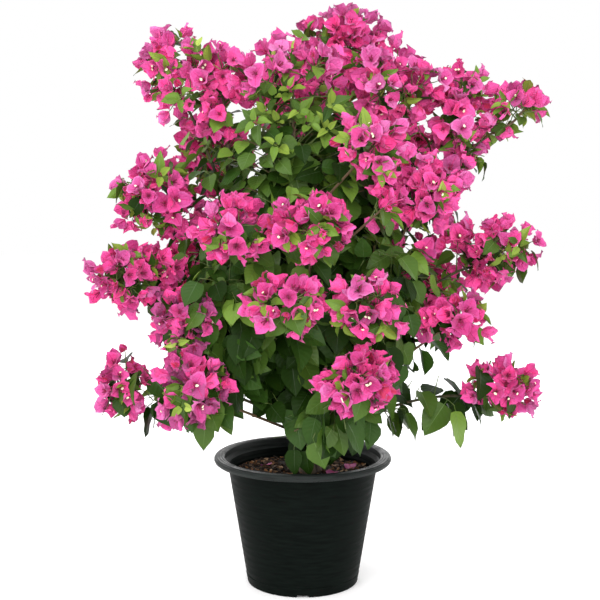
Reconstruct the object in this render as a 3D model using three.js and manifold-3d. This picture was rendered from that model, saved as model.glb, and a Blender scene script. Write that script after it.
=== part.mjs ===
// A bougainvillea bush in a round nursery pot, in millimetres, with +Z up and the origin at the middle of
// the pot's flat underside. A short trunk stands in the potting soil and four woody stems leave its foot.
// Arching boughs carry masses of blossom, and masses of leaves fill the middle of the crown.
// Each mass grows by one seeded rule: a stem, twigs that reach for evenly spread places in the mass's own
// space, and florets of three bracts, or heart-shaped leaves, sunk into the twigs. They are larger than life,
// because each stands for several.
import * as THREE from "three";
import { mergeVertices } from "three/addons/utils/BufferGeometryUtils.js";
import Module from "manifold-3d";

const wasm = await Module();
wasm.setup();

const CLEARANCE = 0.3; // between two pieces that meet
const TEST_MARGIN = 0.5; // how much fatter wood is when it is tested for a free way
const FIRST_SEED = 101;

const POT = {
  height: 290,
  lipRadius: 200,
  lipHeight: 15,
  mouthRadius: 176,
  shoulderRadius: 169,
  baseRadius: 126,
  wall: 3,
  floor: 4,
  sides: 28,
  notches: 4,
  notchWidth: 26,
  notchHeight: 7,
};
const SOIL_LEVEL = 250;

const TRUNK = { foot: 15, rootRadius: 15, flare: 0.7, flareFade: 14, tipRadius: 5, sides: 7, steps: 9 };
const STEM = { rootRadius: 9, tipRadius: 4.5, sides: 6, steps: 8 };
const BOUGH = { rootRadius: 5, tipRadius: 3.4, sides: 5, steps: 4, intoMass: 0.95 };
const MASS_STEM = { rootRadius: 3.4, tipRadius: 2.6, sides: 4, steps: 2 };
const TWIG = { rootRadius: 2.4, tipRadius: 2, sides: 3, steps: 1 };

// Curves, as shares of the way from a limb's root to its tip, and what a limb rises by over that.
const STEM_CURVE = { outward: 0.55, lift: 45, towardsTip: 0.4, swell: 0.35 };
const BOUGH_CURVE = { first: 0.32, firstClimb: 0.3, second: 0.72, secondClimb: 0.78, rise: 0.1 };
const MASS_STEM_CURVE = { straight: 0.5, swing: 0.06, pastMiddle: 0.25 };

// A floret of three bracts, and a leaf. Places along a leaf are shares of its length from its root.
const FLORET = {
  radius: 64,
  shareOfMass: 0.8, // the largest radius, as a share of the mass's smallest half size
  pedicel: 18,
  tipRise: 0.48,
  notchRise: 0.2,
  notchReach: 0.6,
  thickness: 4,
  sink: 0.8,
};
const LEAF = {
  length: 100,
  width: 74,
  thickness: 3.2,
  sink: 1,
  widest: 0.36,
  thickest: 0.2,
  droop: 0.22,
  fold: 0.03,
};

// How each new seeded try differs from the one before, where a leaf, floret, twig or stem found no room.
const TRIES = 6;
const FLORET_TRY = { size: 1.05, shrink: 0.07, lean: 0.2, lift: 0.3 };
const LEAF_TRY = { size: 1.1, shrink: 0.08, wander: 0.3 };
const LEAF_SET = { ahead: 0.7, lessAhead: 0.3, aside: 0.8, hang: 0.7, faceUp: 0.6 };

// A mass's own space, and the spiral of twigs in it. An inset is how far inside that space the twigs end.
const SPACE_SLACK = 1.12;
const SPIRAL = { depth: 1.7, leastReach: 0.4, firstShare: 0.3, alongStem: 0.6, wander: 0.2 };
const BLOSSOM_INSET = 48;
const FOLIAGE_INSET = 62;

const COLOURS = {
  bract: new THREE.Color("#d94489"),
  leaf: new THREE.Color("#3f5f2b"),
  bark: new THREE.Color("#4a3b2c"),
  plastic: new THREE.Color("#161a18"),
  soil: new THREE.Color("#372a1f"),
};

// A place in the crown, by compass angle in degrees (0 right, -90 front), reach from the axis and height.
function place(angle, reach, height) {
  const a = THREE.MathUtils.degToRad(angle);
  return new THREE.Vector3(reach * Math.cos(a), reach * Math.sin(a), height);
}

// The trunk's lean above its foot: two points that draw its curve, and its tip.
const TRUNK_LEAN = [
  [15, 0, 480],
  [-22, 14, 760],
  [18, 8, 1060],
];

// The woody stems: where each leaves the trunk, where it bows out to, and where it ends under the top masses.
const STEMS = [
  { name: "stem_left", leaves: 0.05, bow: place(184, 112, 470), tip: place(196, 168, 985) },
  { name: "stem_right", leaves: 0.03, bow: place(4, 128, 440), tip: place(-16, 172, 990) },
  { name: "stem_front", leaves: 0.08, bow: place(-84, 122, 470), tip: place(-98, 142, 1010) },
  { name: "stem_rear", leaves: 0.06, bow: place(86, 124, 480), tip: place(88, 146, 1010) },
];

// A mass by its name, the limb that carries it, how far along that limb it leaves (1 is the limb's tip), the
// angle, reach and height of its middle, its half sizes along X, Y and Z, and how many twigs it has.
function mass(name, on, from, middle, half, twigs) {
  return { name, on, from, at: place(...middle), half, twigs, bough: false };
}

// The same, for a mass at the end of a bough of its own.
function boughMass(...values) {
  return { ...mass(...values), bough: true };
}

// The masses of blossom.
const BLOSSOM_MASSES = [
  mass("crest", "trunk", 1, [30, 80, 1203], [112, 85, 82], 5),
  mass("top_left", "stem_left", 1, [199, 192, 1085], [103, 88, 94], 5),
  mass("top_centre", "stem_front", 1, [-98, 128, 1100], [106, 80, 78], 4),
  mass("top_right", "stem_right", 1, [-17, 186, 1092], [108, 88, 92], 5),
  mass("top_rear", "stem_rear", 1, [88, 150, 1105], [125, 85, 88], 5),
  boughMass("left_peak", "stem_left", 0.8, [184, 302, 1150], [66, 56, 92], 3),
  boughMass("left_shoulder", "stem_left", 0.5, [185, 322, 876], [112, 95, 92], 5),
  boughMass("left_arm", "stem_left", 0.33, [192, 366, 716], [110, 88, 80], 5),
  mass("left_low", "stem_left", 0.22, [216, 275, 615], [90, 72, 70], 4),
  mass("left_foot", "stem_left", 0.1, [222, 304, 470], [78, 70, 86], 4),
  boughMass("left_tip", "stem_left", 0.14, [186, 402, 472], [58, 52, 96], 3),
  boughMass("right_peak", "stem_right", 0.72, [1, 340, 1062], [70, 62, 128], 4),
  boughMass("right_spray", "stem_right", 0.6, [-1, 474, 1058], [84, 50, 58], 3),
  mass("right_shoulder", "stem_right", 0.46, [-29, 286, 880], [86, 76, 88], 4),
  boughMass("right_arm", "stem_right", 0.34, [-3, 436, 766], [116, 84, 86], 5),
  mass("right_low", "stem_right", 0.2, [-26, 352, 612], [84, 70, 62], 3),
  boughMass("right_tip", "stem_right", 0.1, [-10, 446, 450], [92, 66, 68], 3),
  mass("front_peak", "stem_front", 0.72, [-62, 296, 975], [78, 58, 58], 3),
  mass("front_right", "stem_front", 0.56, [-60, 302, 844], [56, 52, 50], 3),
  mass("front_left", "stem_front", 0.5, [-117, 312, 808], [68, 58, 70], 3),
  mass("front_heart", "stem_front", 0.42, [-86, 306, 812], [88, 66, 74], 5),
  mass("front_low_left", "stem_front", 0.24, [-95, 338, 665], [84, 62, 66], 4),
  mass("front_low_right", "stem_front", 0.2, [-69, 350, 664], [88, 64, 70], 4),
  mass("front_foot", "stem_front", 0.05, [-70, 330, 508], [78, 62, 64], 4),
  boughMass("rear_peak_left", "stem_rear", 0.62, [134, 300, 975], [108, 92, 92], 5),
  boughMass("rear_peak_right", "stem_rear", 0.56, [46, 305, 965], [108, 92, 92], 5),
  mass("rear_heart", "stem_rear", 0.36, [92, 345, 800], [118, 86, 84], 5),
  boughMass("rear_left", "stem_left", 0.26, [144, 350, 690], [100, 94, 86], 4),
  boughMass("rear_right", "stem_right", 0.26, [38, 358, 660], [104, 94, 86], 4),
  mass("rear_foot", "stem_rear", 0.12, [98, 325, 560], [112, 82, 78], 4),
];

// The masses of leaves in the middle of the crown, by the same rule.
const LEAF_MASSES = [
  mass("leaves_low", "trunk", 0.05, [-48, 95, 405], [190, 150, 105], 8),
  mass("leaves_front_left", "trunk", 0.22, [-138, 170, 640], [140, 135, 165], 7),
  mass("leaves_front_right", "trunk", 0.26, [-42, 180, 655], [140, 135, 165], 7),
  mass("leaves_rear_left", "trunk", 0.3, [135, 175, 690], [140, 130, 165], 6),
  mass("leaves_rear_right", "trunk", 0.34, [43, 180, 680], [140, 130, 165], 6),
  mass("leaves_upper", "trunk", 0.6, [40, 45, 905], [175, 150, 120], 9),
];

const AXES = { x: new THREE.Vector3(1, 0, 0), up: new THREE.Vector3(0, 0, 1) };
const GOLDEN_ANGLE = Math.PI * (3 - Math.sqrt(5));

// Seeded random numbers from 0 to 1, the same on every run.
function seededRandom(seed) {
  let state = seed >>> 0;
  return () => {
    state = (state + 0x6d2b79f5) >>> 0;
    let t = Math.imul(state ^ (state >>> 15), state | 1);
    t ^= t + Math.imul(t ^ (t >>> 7), t | 61);
    return ((t ^ (t >>> 14)) >>> 0) / 4294967296;
  };
}

// A closed three.js shape as a solid that can be joined and cut.
function solidFrom(geometry) {
  const bare = geometry.index ? geometry.toNonIndexed() : geometry.clone();
  bare.deleteAttribute("normal");
  bare.deleteAttribute("uv");
  const merged = mergeVertices(bare, 1e-3);
  return new wasm.Manifold(
    new wasm.Mesh({
      numProp: 3,
      vertProperties: merged.attributes.position.array,
      triVerts: new Uint32Array(merged.index.array),
    }),
  );
}

// A solid as a named mesh. Scraps that came loose are dropped and sealed hollows are filled.
function meshFrom(name, solid, colour, roughness) {
  const whole = solid.decompose().sort((a, b) => b.volume() - a.volume())[0];
  const made = whole.getMesh();
  const positions = new Float32Array(made.numVert * 3);
  for (let i = 0; i < made.numVert; i++) {
    positions.set(made.vertProperties.subarray(i * made.numProp, i * made.numProp + 3), i * 3);
  }
  const geometry = new THREE.BufferGeometry();
  geometry.setAttribute("position", new THREE.BufferAttribute(positions, 3));
  geometry.setIndex(new THREE.BufferAttribute(new Uint32Array(made.triVerts), 1));
  const faceted = geometry.toNonIndexed();
  faceted.computeVertexNormals();
  const material = new THREE.MeshStandardMaterial({ color: colour, roughness, metalness: 0 });
  const mesh = new THREE.Mesh(faceted, material);
  mesh.name = name;
  return mesh;
}

// A tapering limb along a curve: a cylinder whose rings are moved onto the curve.
function limbSolid(curve, size, grown = 0) {
  const { rootRadius, tipRadius, sides, steps, flare = 0, flareFade = 1 } = size;
  const geometry = new THREE.CylinderGeometry(1, 1, 1, sides, steps);
  const frames = curve.computeFrenetFrames(steps, false);
  const position = geometry.attributes.position;
  for (let i = 0; i < position.count; i++) {
    const t = position.getY(i) + 0.5;
    const ring = Math.round(t * steps);
    const flared = 1 + flare * Math.pow(1 - t, flareFade);
    const radius = THREE.MathUtils.lerp(rootRadius, tipRadius, t) * flared + grown;
    const vertex = curve.getPointAt(t);
    vertex.addScaledVector(frames.binormals[ring], position.getX(i) * radius);
    vertex.addScaledVector(frames.normals[ring], position.getZ(i) * radius);
    position.setXYZ(i, vertex.x, vertex.y, vertex.z);
  }
  return solidFrom(geometry);
}

// The turn that lays a shape's +Y along a direction and its +Z as near to a facing as it can be.
function turned(origin, direction, facing) {
  const along = direction.clone().normalize();
  const side = new THREE.Vector3().crossVectors(along, facing);
  if (side.lengthSq() < 1e-6) side.crossVectors(along, AXES.x);
  side.normalize();
  const normal = new THREE.Vector3().crossVectors(side, along);
  return new THREE.Matrix4().makeBasis(side, along, normal).setPosition(origin);
}

// One heart-shaped leaf of eight faces, from its stalk's root at the origin along +Y, with its tip drooping.
function leafGeometry(size) {
  const { thickness, sink, widest, thickest } = LEAF;
  const length = LEAF.length * size;
  const geometry = new THREE.OctahedronGeometry(1, 0);
  const position = geometry.attributes.position;
  for (let i = 0; i < position.count; i++) {
    const [x, y, z] = [position.getX(i), position.getY(i), position.getZ(i)];
    const isRib = Math.abs(z) > 0.5;
    const isEnd = Math.abs(y) > 0.5;
    const share = isEnd ? (y + 1) / 2 : isRib ? thickest : widest;
    const drop = LEAF.droop * length * share * share + (isRib ? LEAF.fold * length : 0);
    const along = share * (length + sink) - sink;
    position.setXYZ(i, (x * LEAF.width * size) / 2, along, (z * thickness) / 2 - drop);
  }
  return geometry;
}

// One floret: three pointed bracts flaring from a pedicel, its root at the origin and its mouth towards +Y.
function floretGeometry(radius) {
  const { pedicel, tipRise, notchRise, notchReach, thickness, sink } = FLORET;
  const sectors = 6;
  const geometry = new THREE.SphereGeometry(1, sectors, 2);
  const position = geometry.attributes.position;
  for (let i = 0; i < position.count; i++) {
    const [x, y, z] = [position.getX(i), position.getY(i), position.getZ(i)];
    if (Math.abs(y) > 0.5) {
      position.setXYZ(i, 0, y > 0 ? pedicel + thickness : -sink, 0);
      continue;
    }
    const isTip = Math.round((Math.atan2(z, x) / (2 * Math.PI)) * sectors + sectors) % 2 === 0;
    const reach = radius * (isTip ? 1 : notchReach);
    const rise = radius * (isTip ? tipRise : notchRise);
    position.setXYZ(i, x * reach, pedicel + rise, z * reach);
  }
  return geometry;
}

// Pieces already in place, so that no twig, leaf or floret touches another piece it isn't sunk into.
const placed = [];

function boxesMeet(a, b) {
  return [0, 1, 2].every((k) => a.min[k] <= b.max[k] && b.min[k] <= a.max[k]);
}

// True if a solid touches nothing but the pieces that it may touch.
function isFree(solid, mayTouch) {
  const box = solid.boundingBox();
  return placed.every(
    (other) => mayTouch(other) || !boxesMeet(box, other.box) || other.solid.intersect(solid).volume() === 0,
  );
}

function keep(node, kind, solid, grown = solid) {
  placed.push({ node, kind, solid: grown, box: grown.boundingBox() });
  return placed[placed.length - 1];
}

// A solid a little larger about its own middle, for testing that it keeps clear of its neighbours.
function swollen(solid) {
  const box = solid.boundingBox();
  const middle = [0, 1, 2].map((k) => (box.min[k] + box.max[k]) / 2);
  return solid
    .translate(middle.map((c) => -c))
    .scale(1.03)
    .translate(middle);
}

const group = new THREE.Group();
group.name = "bougainvillea_bush";

function addPiece(name, solid, colour, roughness) {
  group.add(meshFrom(name, solid, colour, roughness));
}

// The pot: one turned profile with a rolled lip, and drain notches round the edge of its flat underside.
function makePot() {
  const { height, lipRadius, lipHeight, mouthRadius, shoulderRadius, baseRadius, wall, floor } = POT;
  const lipFoot = height - lipHeight;
  const profile = [
    [0, 0],
    [baseRadius - 5, 0],
    [baseRadius, 6],
    [shoulderRadius, lipFoot - 4],
    [lipRadius - 5, lipFoot],
    [lipRadius, lipFoot + 4],
    [lipRadius - 1, height - 4],
    [lipRadius - 7, height],
    [mouthRadius + 4, height - 1],
    [mouthRadius, height - 5],
    [shoulderRadius - wall, lipFoot - 6],
    [baseRadius - wall, floor],
    [0, floor],
  ];
  const shell = new THREE.LatheGeometry(
    profile.map(([radius, z]) => new THREE.Vector2(radius, z)),
    POT.sides,
  );
  shell.rotateX(Math.PI / 2);
  let pot = solidFrom(shell);
  const notch = new THREE.BoxGeometry(18, POT.notchWidth, POT.notchHeight * 2);
  notch.translate(baseRadius, 0, 0);
  for (let i = 0; i < POT.notches; i++) {
    const angle = (i / POT.notches) * 2 * Math.PI;
    pot = pot.subtract(solidFrom(notch.clone().rotateZ(angle)));
  }
  keep("pot", "pot", pot);
  addPiece("pot", pot, COLOURS.plastic, 0.55);
}

// The potting soil, which fills the pot to its level.
function makeSoil() {
  const { height, lipHeight, shoulderRadius, baseRadius, wall, floor } = POT;
  const slope = (shoulderRadius - baseRadius) / (height - lipHeight - 6 - floor);
  const topRadius = baseRadius + slope * (SOIL_LEVEL - floor) - wall;
  const profile = [
    [0, floor + CLEARANCE],
    [baseRadius - wall - 1, floor + CLEARANCE],
    [topRadius - 1, SOIL_LEVEL],
    [0, SOIL_LEVEL],
  ];
  const fill = new THREE.LatheGeometry(
    profile.map(([radius, z]) => new THREE.Vector2(radius, z)),
    POT.sides,
  );
  fill.rotateX(Math.PI / 2);
  const soil = solidFrom(fill);
  keep("potting_soil", "soil", soil);
  addPiece("potting_soil", soil, COLOURS.soil, 1);
}

// Limbs by name, each with its curve and its size, so that boughs and masses can be set on them.
const limbs = new Map();

function addLimb(name, curve, size, parent) {
  let solid = limbSolid(curve, size);
  if (parent) solid = solid.subtract(parent.grown);
  const grown = limbSolid(curve, size, CLEARANCE + 0.1);
  limbs.set(name, { curve, size, grown });
  keep(name, "limb", solid, grown);
  addPiece(name, solid, COLOURS.bark, 0.9);
}

function makeTrunkAndStems() {
  const foot = new THREE.Vector3(TRUNK.foot, 0, SOIL_LEVEL + CLEARANCE);
  const [low, high, tip] = TRUNK_LEAN.map((point) => new THREE.Vector3(...point));
  const trunkCurve = new THREE.CubicBezierCurve3(foot, low, high, tip);
  addLimb("trunk", trunkCurve, TRUNK);
  for (const stem of STEMS) {
    const root = trunkCurve.getPointAt(stem.leaves);
    const outward = stem.bow.clone().sub(root).setZ(0);
    const first = root.clone().addScaledVector(outward, STEM_CURVE.outward);
    first.z += STEM_CURVE.lift;
    const second = stem.bow.clone().lerp(stem.tip, STEM_CURVE.towardsTip);
    second.addScaledVector(outward, STEM_CURVE.swell);
    const curve = new THREE.CubicBezierCurve3(root, first, second, stem.tip);
    addLimb(stem.name, curve, STEM, limbs.get("trunk"));
  }
}

// Reaches a bough out from a limb, bowed out first and then up, to the near side of a mass.
function addBough(mass) {
  const limb = limbs.get(mass.on);
  const root = limb.curve.getPointAt(mass.from);
  const wholeWay = mass.at.clone().sub(root);
  const share = 1 - (BOUGH.intoMass * Math.min(...mass.half)) / wholeWay.length();
  const tip = root.clone().addScaledVector(wholeWay, share);
  const outward = tip.clone().sub(root).setZ(0);
  const rise = BOUGH_CURVE.rise * root.distanceTo(tip);
  const first = root.clone().addScaledVector(outward, BOUGH_CURVE.first);
  first.z += (tip.z - root.z) * BOUGH_CURVE.firstClimb + rise;
  const second = root.clone().addScaledVector(outward, BOUGH_CURVE.second);
  second.z += (tip.z - root.z) * BOUGH_CURVE.secondClimb + rise;
  addLimb("bough_" + mass.name, new THREE.CubicBezierCurve3(root, first, second, tip), BOUGH, limb);
}

// Where a mass's own stem begins: at its bough's tip, at its limb's tip, or on the side of its limb.
function stemRoot(mass) {
  mass.carrier = mass.bough ? "bough_" + mass.name : mass.on;
  const limb = limbs.get(mass.carrier);
  if (mass.bough || mass.from === 1) {
    const { curve, size } = limb;
    return { point: curve.getPointAt(1), direction: curve.getTangentAt(1), radius: size.tipRadius };
  }
  const point = limb.curve.getPointAt(mass.from);
  const direction = mass.at.clone().sub(point).normalize();
  return { point, direction, radius: MASS_STEM.rootRadius, cutBy: limb };
}

// Gives a mass its own stem, from its limb to the middle of its space, swung aside until it has a free way.
function addMassStem(mass) {
  const { random, half, at } = mass;
  const { point, direction, radius, cutBy } = stemRoot(mass);
  const size = { ...MASS_STEM, rootRadius: radius };
  const start = point.clone().addScaledVector(direction, cutBy ? 0 : CLEARANCE);
  const end = at.clone().addScaledVector(direction, Math.min(...half) * MASS_STEM_CURVE.pastMiddle);
  const run = at.distanceTo(start);
  for (let attempt = 0; attempt < TRIES; attempt++) {
    const swing = new THREE.Vector3(random() - 0.5, random() - 0.5, random() - 0.5).normalize();
    const bend = start.clone().addScaledVector(direction, run * MASS_STEM_CURVE.straight);
    bend.addScaledVector(swing, attempt * run * MASS_STEM_CURVE.swing);
    const curve = new THREE.QuadraticBezierCurve3(start, bend, end);
    const [solid, grown] = [0, TEST_MARGIN].map((more) => {
      const whole = limbSolid(curve, size, more);
      return cutBy ? whole.subtract(cutBy.grown) : whole;
    });
    if (!isFree(grown, (other) => other.node === mass.carrier)) continue;
    keep(mass.name, "stem", solid);
    mass.stem = { curve, solid };
    return;
  }
  throw new Error(mass.name + " finds no free way for its stem");
}

// The places that a mass's twigs reach for: a spiral of rays round the stem, from ahead of it to behind it.
function twigTargets({ stem, half, at, twigs, random }, inset) {
  const turn = new THREE.Quaternion().setFromUnitVectors(AXES.up, stem.curve.getTangentAt(1));
  const reach = half.map((size) => Math.max(size - inset, SPIRAL.leastReach * size));
  const firstTurn = random() * 2 * Math.PI;
  return Array.from({ length: twigs }, (_, i) => {
    const height = 1 - (SPIRAL.depth * (i + 0.5)) / twigs;
    const ring = Math.sqrt(1 - height * height);
    const angle = GOLDEN_ANGLE * i + firstTurn;
    const ray = new THREE.Vector3(ring * Math.cos(angle), ring * Math.sin(angle), height);
    ray.applyQuaternion(turn);
    const point = ray.clone().multiply(new THREE.Vector3(...reach)).add(at);
    return { point, ray, backward: (i + SPIRAL.firstShare) / twigs };
  });
}

// True if a solid stays in the mass's own space.
function isWithin(mass, solid) {
  const { min, max } = solid.boundingBox();
  return mass.at.toArray().every((middle, k) => {
    const reach = mass.half[k] * SPACE_SLACK;
    return min[k] >= middle - reach && max[k] <= middle + reach;
  });
}

// A straight twig from its root to a target, moved aside in the mass's space until it has a free way.
function findTwig(mass, root, target) {
  const isOwnWood = (other) => other.node === mass.name && other.kind !== "borne";
  for (let attempt = 0; attempt < TRIES; attempt++) {
    const aside = new THREE.Vector3(...mass.half.map((half) => half * (mass.random() - 0.5)));
    const end = target.point.clone().addScaledVector(aside, attempt * SPIRAL.wander);
    const curve = new THREE.LineCurve3(root, end);
    if (isFree(limbSolid(curve, TWIG, TEST_MARGIN), isOwnWood)) return curve;
  }
  return null;
}

// Something that a twig bears, in the first of its tries that stays in the mass's space and touches nothing.
function findRoom(mass, twig, makeTry) {
  for (let attempt = 0; attempt < TRIES; attempt++) {
    const solid = makeTry(attempt);
    if (isWithin(mass, solid) && isFree(swollen(solid), (other) => other === twig)) return solid;
  }
  return null;
}

// Grows one mass on its stem: a twig to each target, then what the twig bears at each of its spots.
function growMass(mass, { inset, spots, make, colour, roughness }) {
  const { curve, solid } = mass.stem;
  const pieces = [solid];
  const used = Math.min(SPIRAL.alongStem, Math.min(...mass.half) / curve.getLength());
  for (const target of twigTargets(mass, inset)) {
    const twigCurve = findTwig(mass, curve.getPointAt(1 - used * target.backward), target);
    if (!twigCurve) continue;
    const twig = keep(mass.name, "twig", limbSolid(twigCurve, TWIG));
    pieces.push(twig.solid);
    for (const spot of spots) {
      const borne = findRoom(mass, twig, (attempt) => make(mass, twigCurve, target.ray, spot, attempt));
      if (!borne) continue;
      keep(mass.name, "borne", borne);
      pieces.push(borne);
    }
  }
  addPiece(mass.name, wasm.Manifold.union(pieces), colour, roughness);
}

// A floret at a place on its twig, facing out of the mass.
function makeFloret({ half, random }, curve, ray, { share }, attempt) {
  const tangent = curve.getTangentAt(share);
  const sideways = new THREE.Vector3().crossVectors(tangent, AXES.up);
  sideways.applyAxisAngle(tangent, random() * 2 * Math.PI);
  const outward = ray.clone().add(tangent).addScaledVector(AXES.up, FLORET_TRY.lift);
  outward.addScaledVector(sideways, FLORET_TRY.lean * attempt).normalize();
  const facing = new THREE.Vector3(random() - 0.5, random() - 0.5, random() - 0.5);
  const radius = Math.min(FLORET.radius, FLORET.shareOfMass * Math.min(...half));
  const geometry = floretGeometry(radius * (FLORET_TRY.size - FLORET_TRY.shrink * attempt));
  geometry.applyMatrix4(turned(curve.getPointAt(share), outward, facing));
  return solidFrom(geometry);
}

// A hanging leaf at a place on its twig, swung to one side of it, with its face turned out of the mass.
function makeLeaf({ random }, curve, ray, { share, swing }, attempt) {
  const { size, shrink, wander } = LEAF_TRY;
  const { ahead, lessAhead, aside, hang, faceUp } = LEAF_SET;
  const tangent = curve.getTangentAt(share);
  const sideways = new THREE.Vector3().crossVectors(tangent, AXES.up).normalize();
  const direction = tangent.clone().multiplyScalar(ahead - lessAhead * Math.abs(swing));
  direction.addScaledVector(sideways, aside * swing + (random() - 0.5) * wander * attempt);
  direction.addScaledVector(AXES.up, (random() - 0.5) * wander * (1 + attempt) - hang).normalize();
  const geometry = leafGeometry(size - shrink * attempt);
  const facing = ray.clone().addScaledVector(AXES.up, faceUp);
  geometry.applyMatrix4(turned(curve.getPointAt(share), direction, facing));
  return solidFrom(geometry);
}

const BLOSSOM = {
  inset: BLOSSOM_INSET,
  spots: [{ share: 0.96 }],
  make: makeFloret,
  colour: COLOURS.bract,
  roughness: 0.7,
};
const FOLIAGE = {
  inset: FOLIAGE_INSET,
  spots: [
    { share: 0.96, swing: 0 },
    { share: 0.8, swing: 0.9 },
    { share: 0.64, swing: -0.9 },
    { share: 0.46, swing: 1 },
  ],
  make: makeLeaf,
  colour: COLOURS.leaf,
  roughness: 0.6,
};

makePot();
makeSoil();
makeTrunkAndStems();
const masses = [...BLOSSOM_MASSES, ...LEAF_MASSES];
masses.forEach((mass, i) => {
  mass.random = seededRandom(FIRST_SEED + i);
});
masses.filter((mass) => mass.bough).forEach(addBough);
masses.forEach(addMassStem);
BLOSSOM_MASSES.forEach((mass) => growMass(mass, BLOSSOM));
LEAF_MASSES.forEach((mass) => growMass(mass, FOLIAGE));

export default group;
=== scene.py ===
# %% [markdown]
# # A bougainvillea bush in its pot
#
# A young bougainvillea as a nursery sells it: a round black pot, four woody stems round a short trunk, a
# core of green leaves, and masses of papery pink bracts that reach out on arching boughs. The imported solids
# give the place and the reach of every limb and mass. This script dresses them, and works in metres in
# their frame: +Z is up, the origin is under the middle of the pot and -Y is the front of the plant.

# %% Load the frame
import itertools
import math

import bmesh
import bpy
import numpy as np
from mathutils import Matrix, Vector, noise
from mathutils.bvhtree import BVHTree
from mathutils.kdtree import KDTree


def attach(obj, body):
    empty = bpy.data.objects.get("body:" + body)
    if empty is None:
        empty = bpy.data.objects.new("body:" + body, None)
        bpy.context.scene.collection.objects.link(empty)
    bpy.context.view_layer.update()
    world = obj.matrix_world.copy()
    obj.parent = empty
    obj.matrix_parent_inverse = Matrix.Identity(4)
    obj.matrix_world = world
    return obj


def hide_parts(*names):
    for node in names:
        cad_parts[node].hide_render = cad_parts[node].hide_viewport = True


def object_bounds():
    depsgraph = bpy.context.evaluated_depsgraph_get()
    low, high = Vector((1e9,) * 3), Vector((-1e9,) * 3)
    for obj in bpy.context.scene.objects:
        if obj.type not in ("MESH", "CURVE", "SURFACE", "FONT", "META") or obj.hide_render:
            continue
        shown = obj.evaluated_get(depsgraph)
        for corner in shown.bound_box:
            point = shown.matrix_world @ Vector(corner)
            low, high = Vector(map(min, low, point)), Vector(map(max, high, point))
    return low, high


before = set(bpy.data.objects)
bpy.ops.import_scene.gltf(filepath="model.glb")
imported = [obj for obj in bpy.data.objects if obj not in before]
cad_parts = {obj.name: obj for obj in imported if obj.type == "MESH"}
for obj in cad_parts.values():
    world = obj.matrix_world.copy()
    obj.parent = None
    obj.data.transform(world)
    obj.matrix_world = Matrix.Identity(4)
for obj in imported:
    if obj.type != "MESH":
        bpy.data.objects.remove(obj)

CAD_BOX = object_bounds()
MM = 0.001
UP = Vector((0, 0, 1))
FULL_TURN = 2 * math.pi
GOLDEN_ANGLE = math.pi * (3 - math.sqrt(5))
print("box of the solids", [tuple(round(c, 3) for c in corner) for corner in CAD_BOX])

# %% [markdown]
# ## Colours and finishes
#
# Every finish is one Principled shader. Its colours are written as sRGB hex values, as a paint program
# shows them, and turned to the linear values that the shader wants. Bracts and leaves have plain colours,
# because a pattern would be lost on shapes this small.

# %% Linear colours
def linear(hex_colour):
    """An sRGB hex colour as linear red, green, blue and alpha, by the curve of the sRGB standard."""
    shares = [int(hex_colour[i : i + 2], 16) / 255 for i in (1, 3, 5)]
    return (*[c / 12.92 if c <= 0.04045 else ((c + 0.055) / 1.055) ** 2.4 for c in shares], 1.0)


print("the grey #808080 is", round(linear("#808080")[0], 3), "in linear light")

# %% [markdown]
# A node is always added in the same way: its kind, its settings and what feeds it. A finish then reads as a
# list of what the eye finds.

# %% Nodes and finishes
def add_node(material, kind, settings=None, links=None):
    """Adds a node. Settings are its properties and its inputs' values, and links feed its inputs."""
    tree = material.node_tree
    node = tree.nodes.new(kind)
    for name, value in (settings or {}).items():
        if isinstance(name, str) and hasattr(node, name):
            setattr(node, name, value)
        else:
            node.inputs[name].default_value = value
    for name, source in (links or {}).items():
        tree.links.new(source, node.inputs[name])
    return node


def new_finish(name, colour, roughness, settings=None):
    """A material with one Principled shader of this plain colour and roughness."""
    material = bpy.data.materials.new(name)
    material.use_nodes = True
    material.diffuse_color = linear(colour)
    shader = material.node_tree.nodes["Principled BSDF"]
    values = {"Base Color": linear(colour), "Roughness": roughness, **(settings or {})}
    for socket, value in values.items():
        shader.inputs[socket].default_value = value
    return material


def feed(material, socket, source):
    """Links an output to the material's shader."""
    shader = material.node_tree.nodes["Principled BSDF"]
    material.node_tree.links.new(source, shader.inputs[socket])


def give_relief(material, height, depth):
    """Bumps a material by a height from 0 to 1 that stands for this depth."""
    bump = add_node(material, "ShaderNodeBump", {"Distance": depth}, {"Height": height})
    feed(material, "Normal", bump.outputs["Normal"])


# %% [markdown]
# Fibres, cracks and scuffs are all noise that is stretched along one axis, so one helper makes them. It
# works in the object's own coordinates, where a pitch in millimetres is true on every piece. Colour and
# roughness follow the middle of the noise's range, where most of its values lie.

# %% Patterns
NOISE_RANGE = {"From Min": 0.35, "From Max": 0.65}
NOISE_ROUGHNESS = 0.55
# A Mix node has inputs for each type of data, and these are the numbers of the ones for colours.
MIX_SOCKETS = {"share": 0, "dark": 6, "pale": 7, "mixed": 2}


def grain(material, pitch, stretch=(1, 1, 1), detail=4.0):
    """Noise whose grains are this far apart, longer along an axis where stretch is under 1."""
    places = add_node(material, "ShaderNodeTexCoord").outputs["Object"]
    mapping = add_node(material, "ShaderNodeMapping", {"Scale": stretch}, {"Vector": places})
    settings = {"Scale": 1 / pitch, "Detail": detail, "Roughness": NOISE_ROUGHNESS}
    return add_node(material, "ShaderNodeTexNoise", settings, {"Vector": mapping.outputs[0]}).outputs[0]


def mottle(material, pattern, dark, pale):
    """Takes the material's colour from dark to pale with a pattern."""
    share = add_node(material, "ShaderNodeMapRange", NOISE_RANGE, {"Value": pattern})
    settings = {"data_type": "RGBA", MIX_SOCKETS["dark"]: linear(dark), MIX_SOCKETS["pale"]: linear(pale)}
    colour = add_node(material, "ShaderNodeMix", settings, {MIX_SOCKETS["share"]: share.outputs[0]})
    feed(material, "Base Color", colour.outputs[MIX_SOCKETS["mixed"]])


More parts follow.
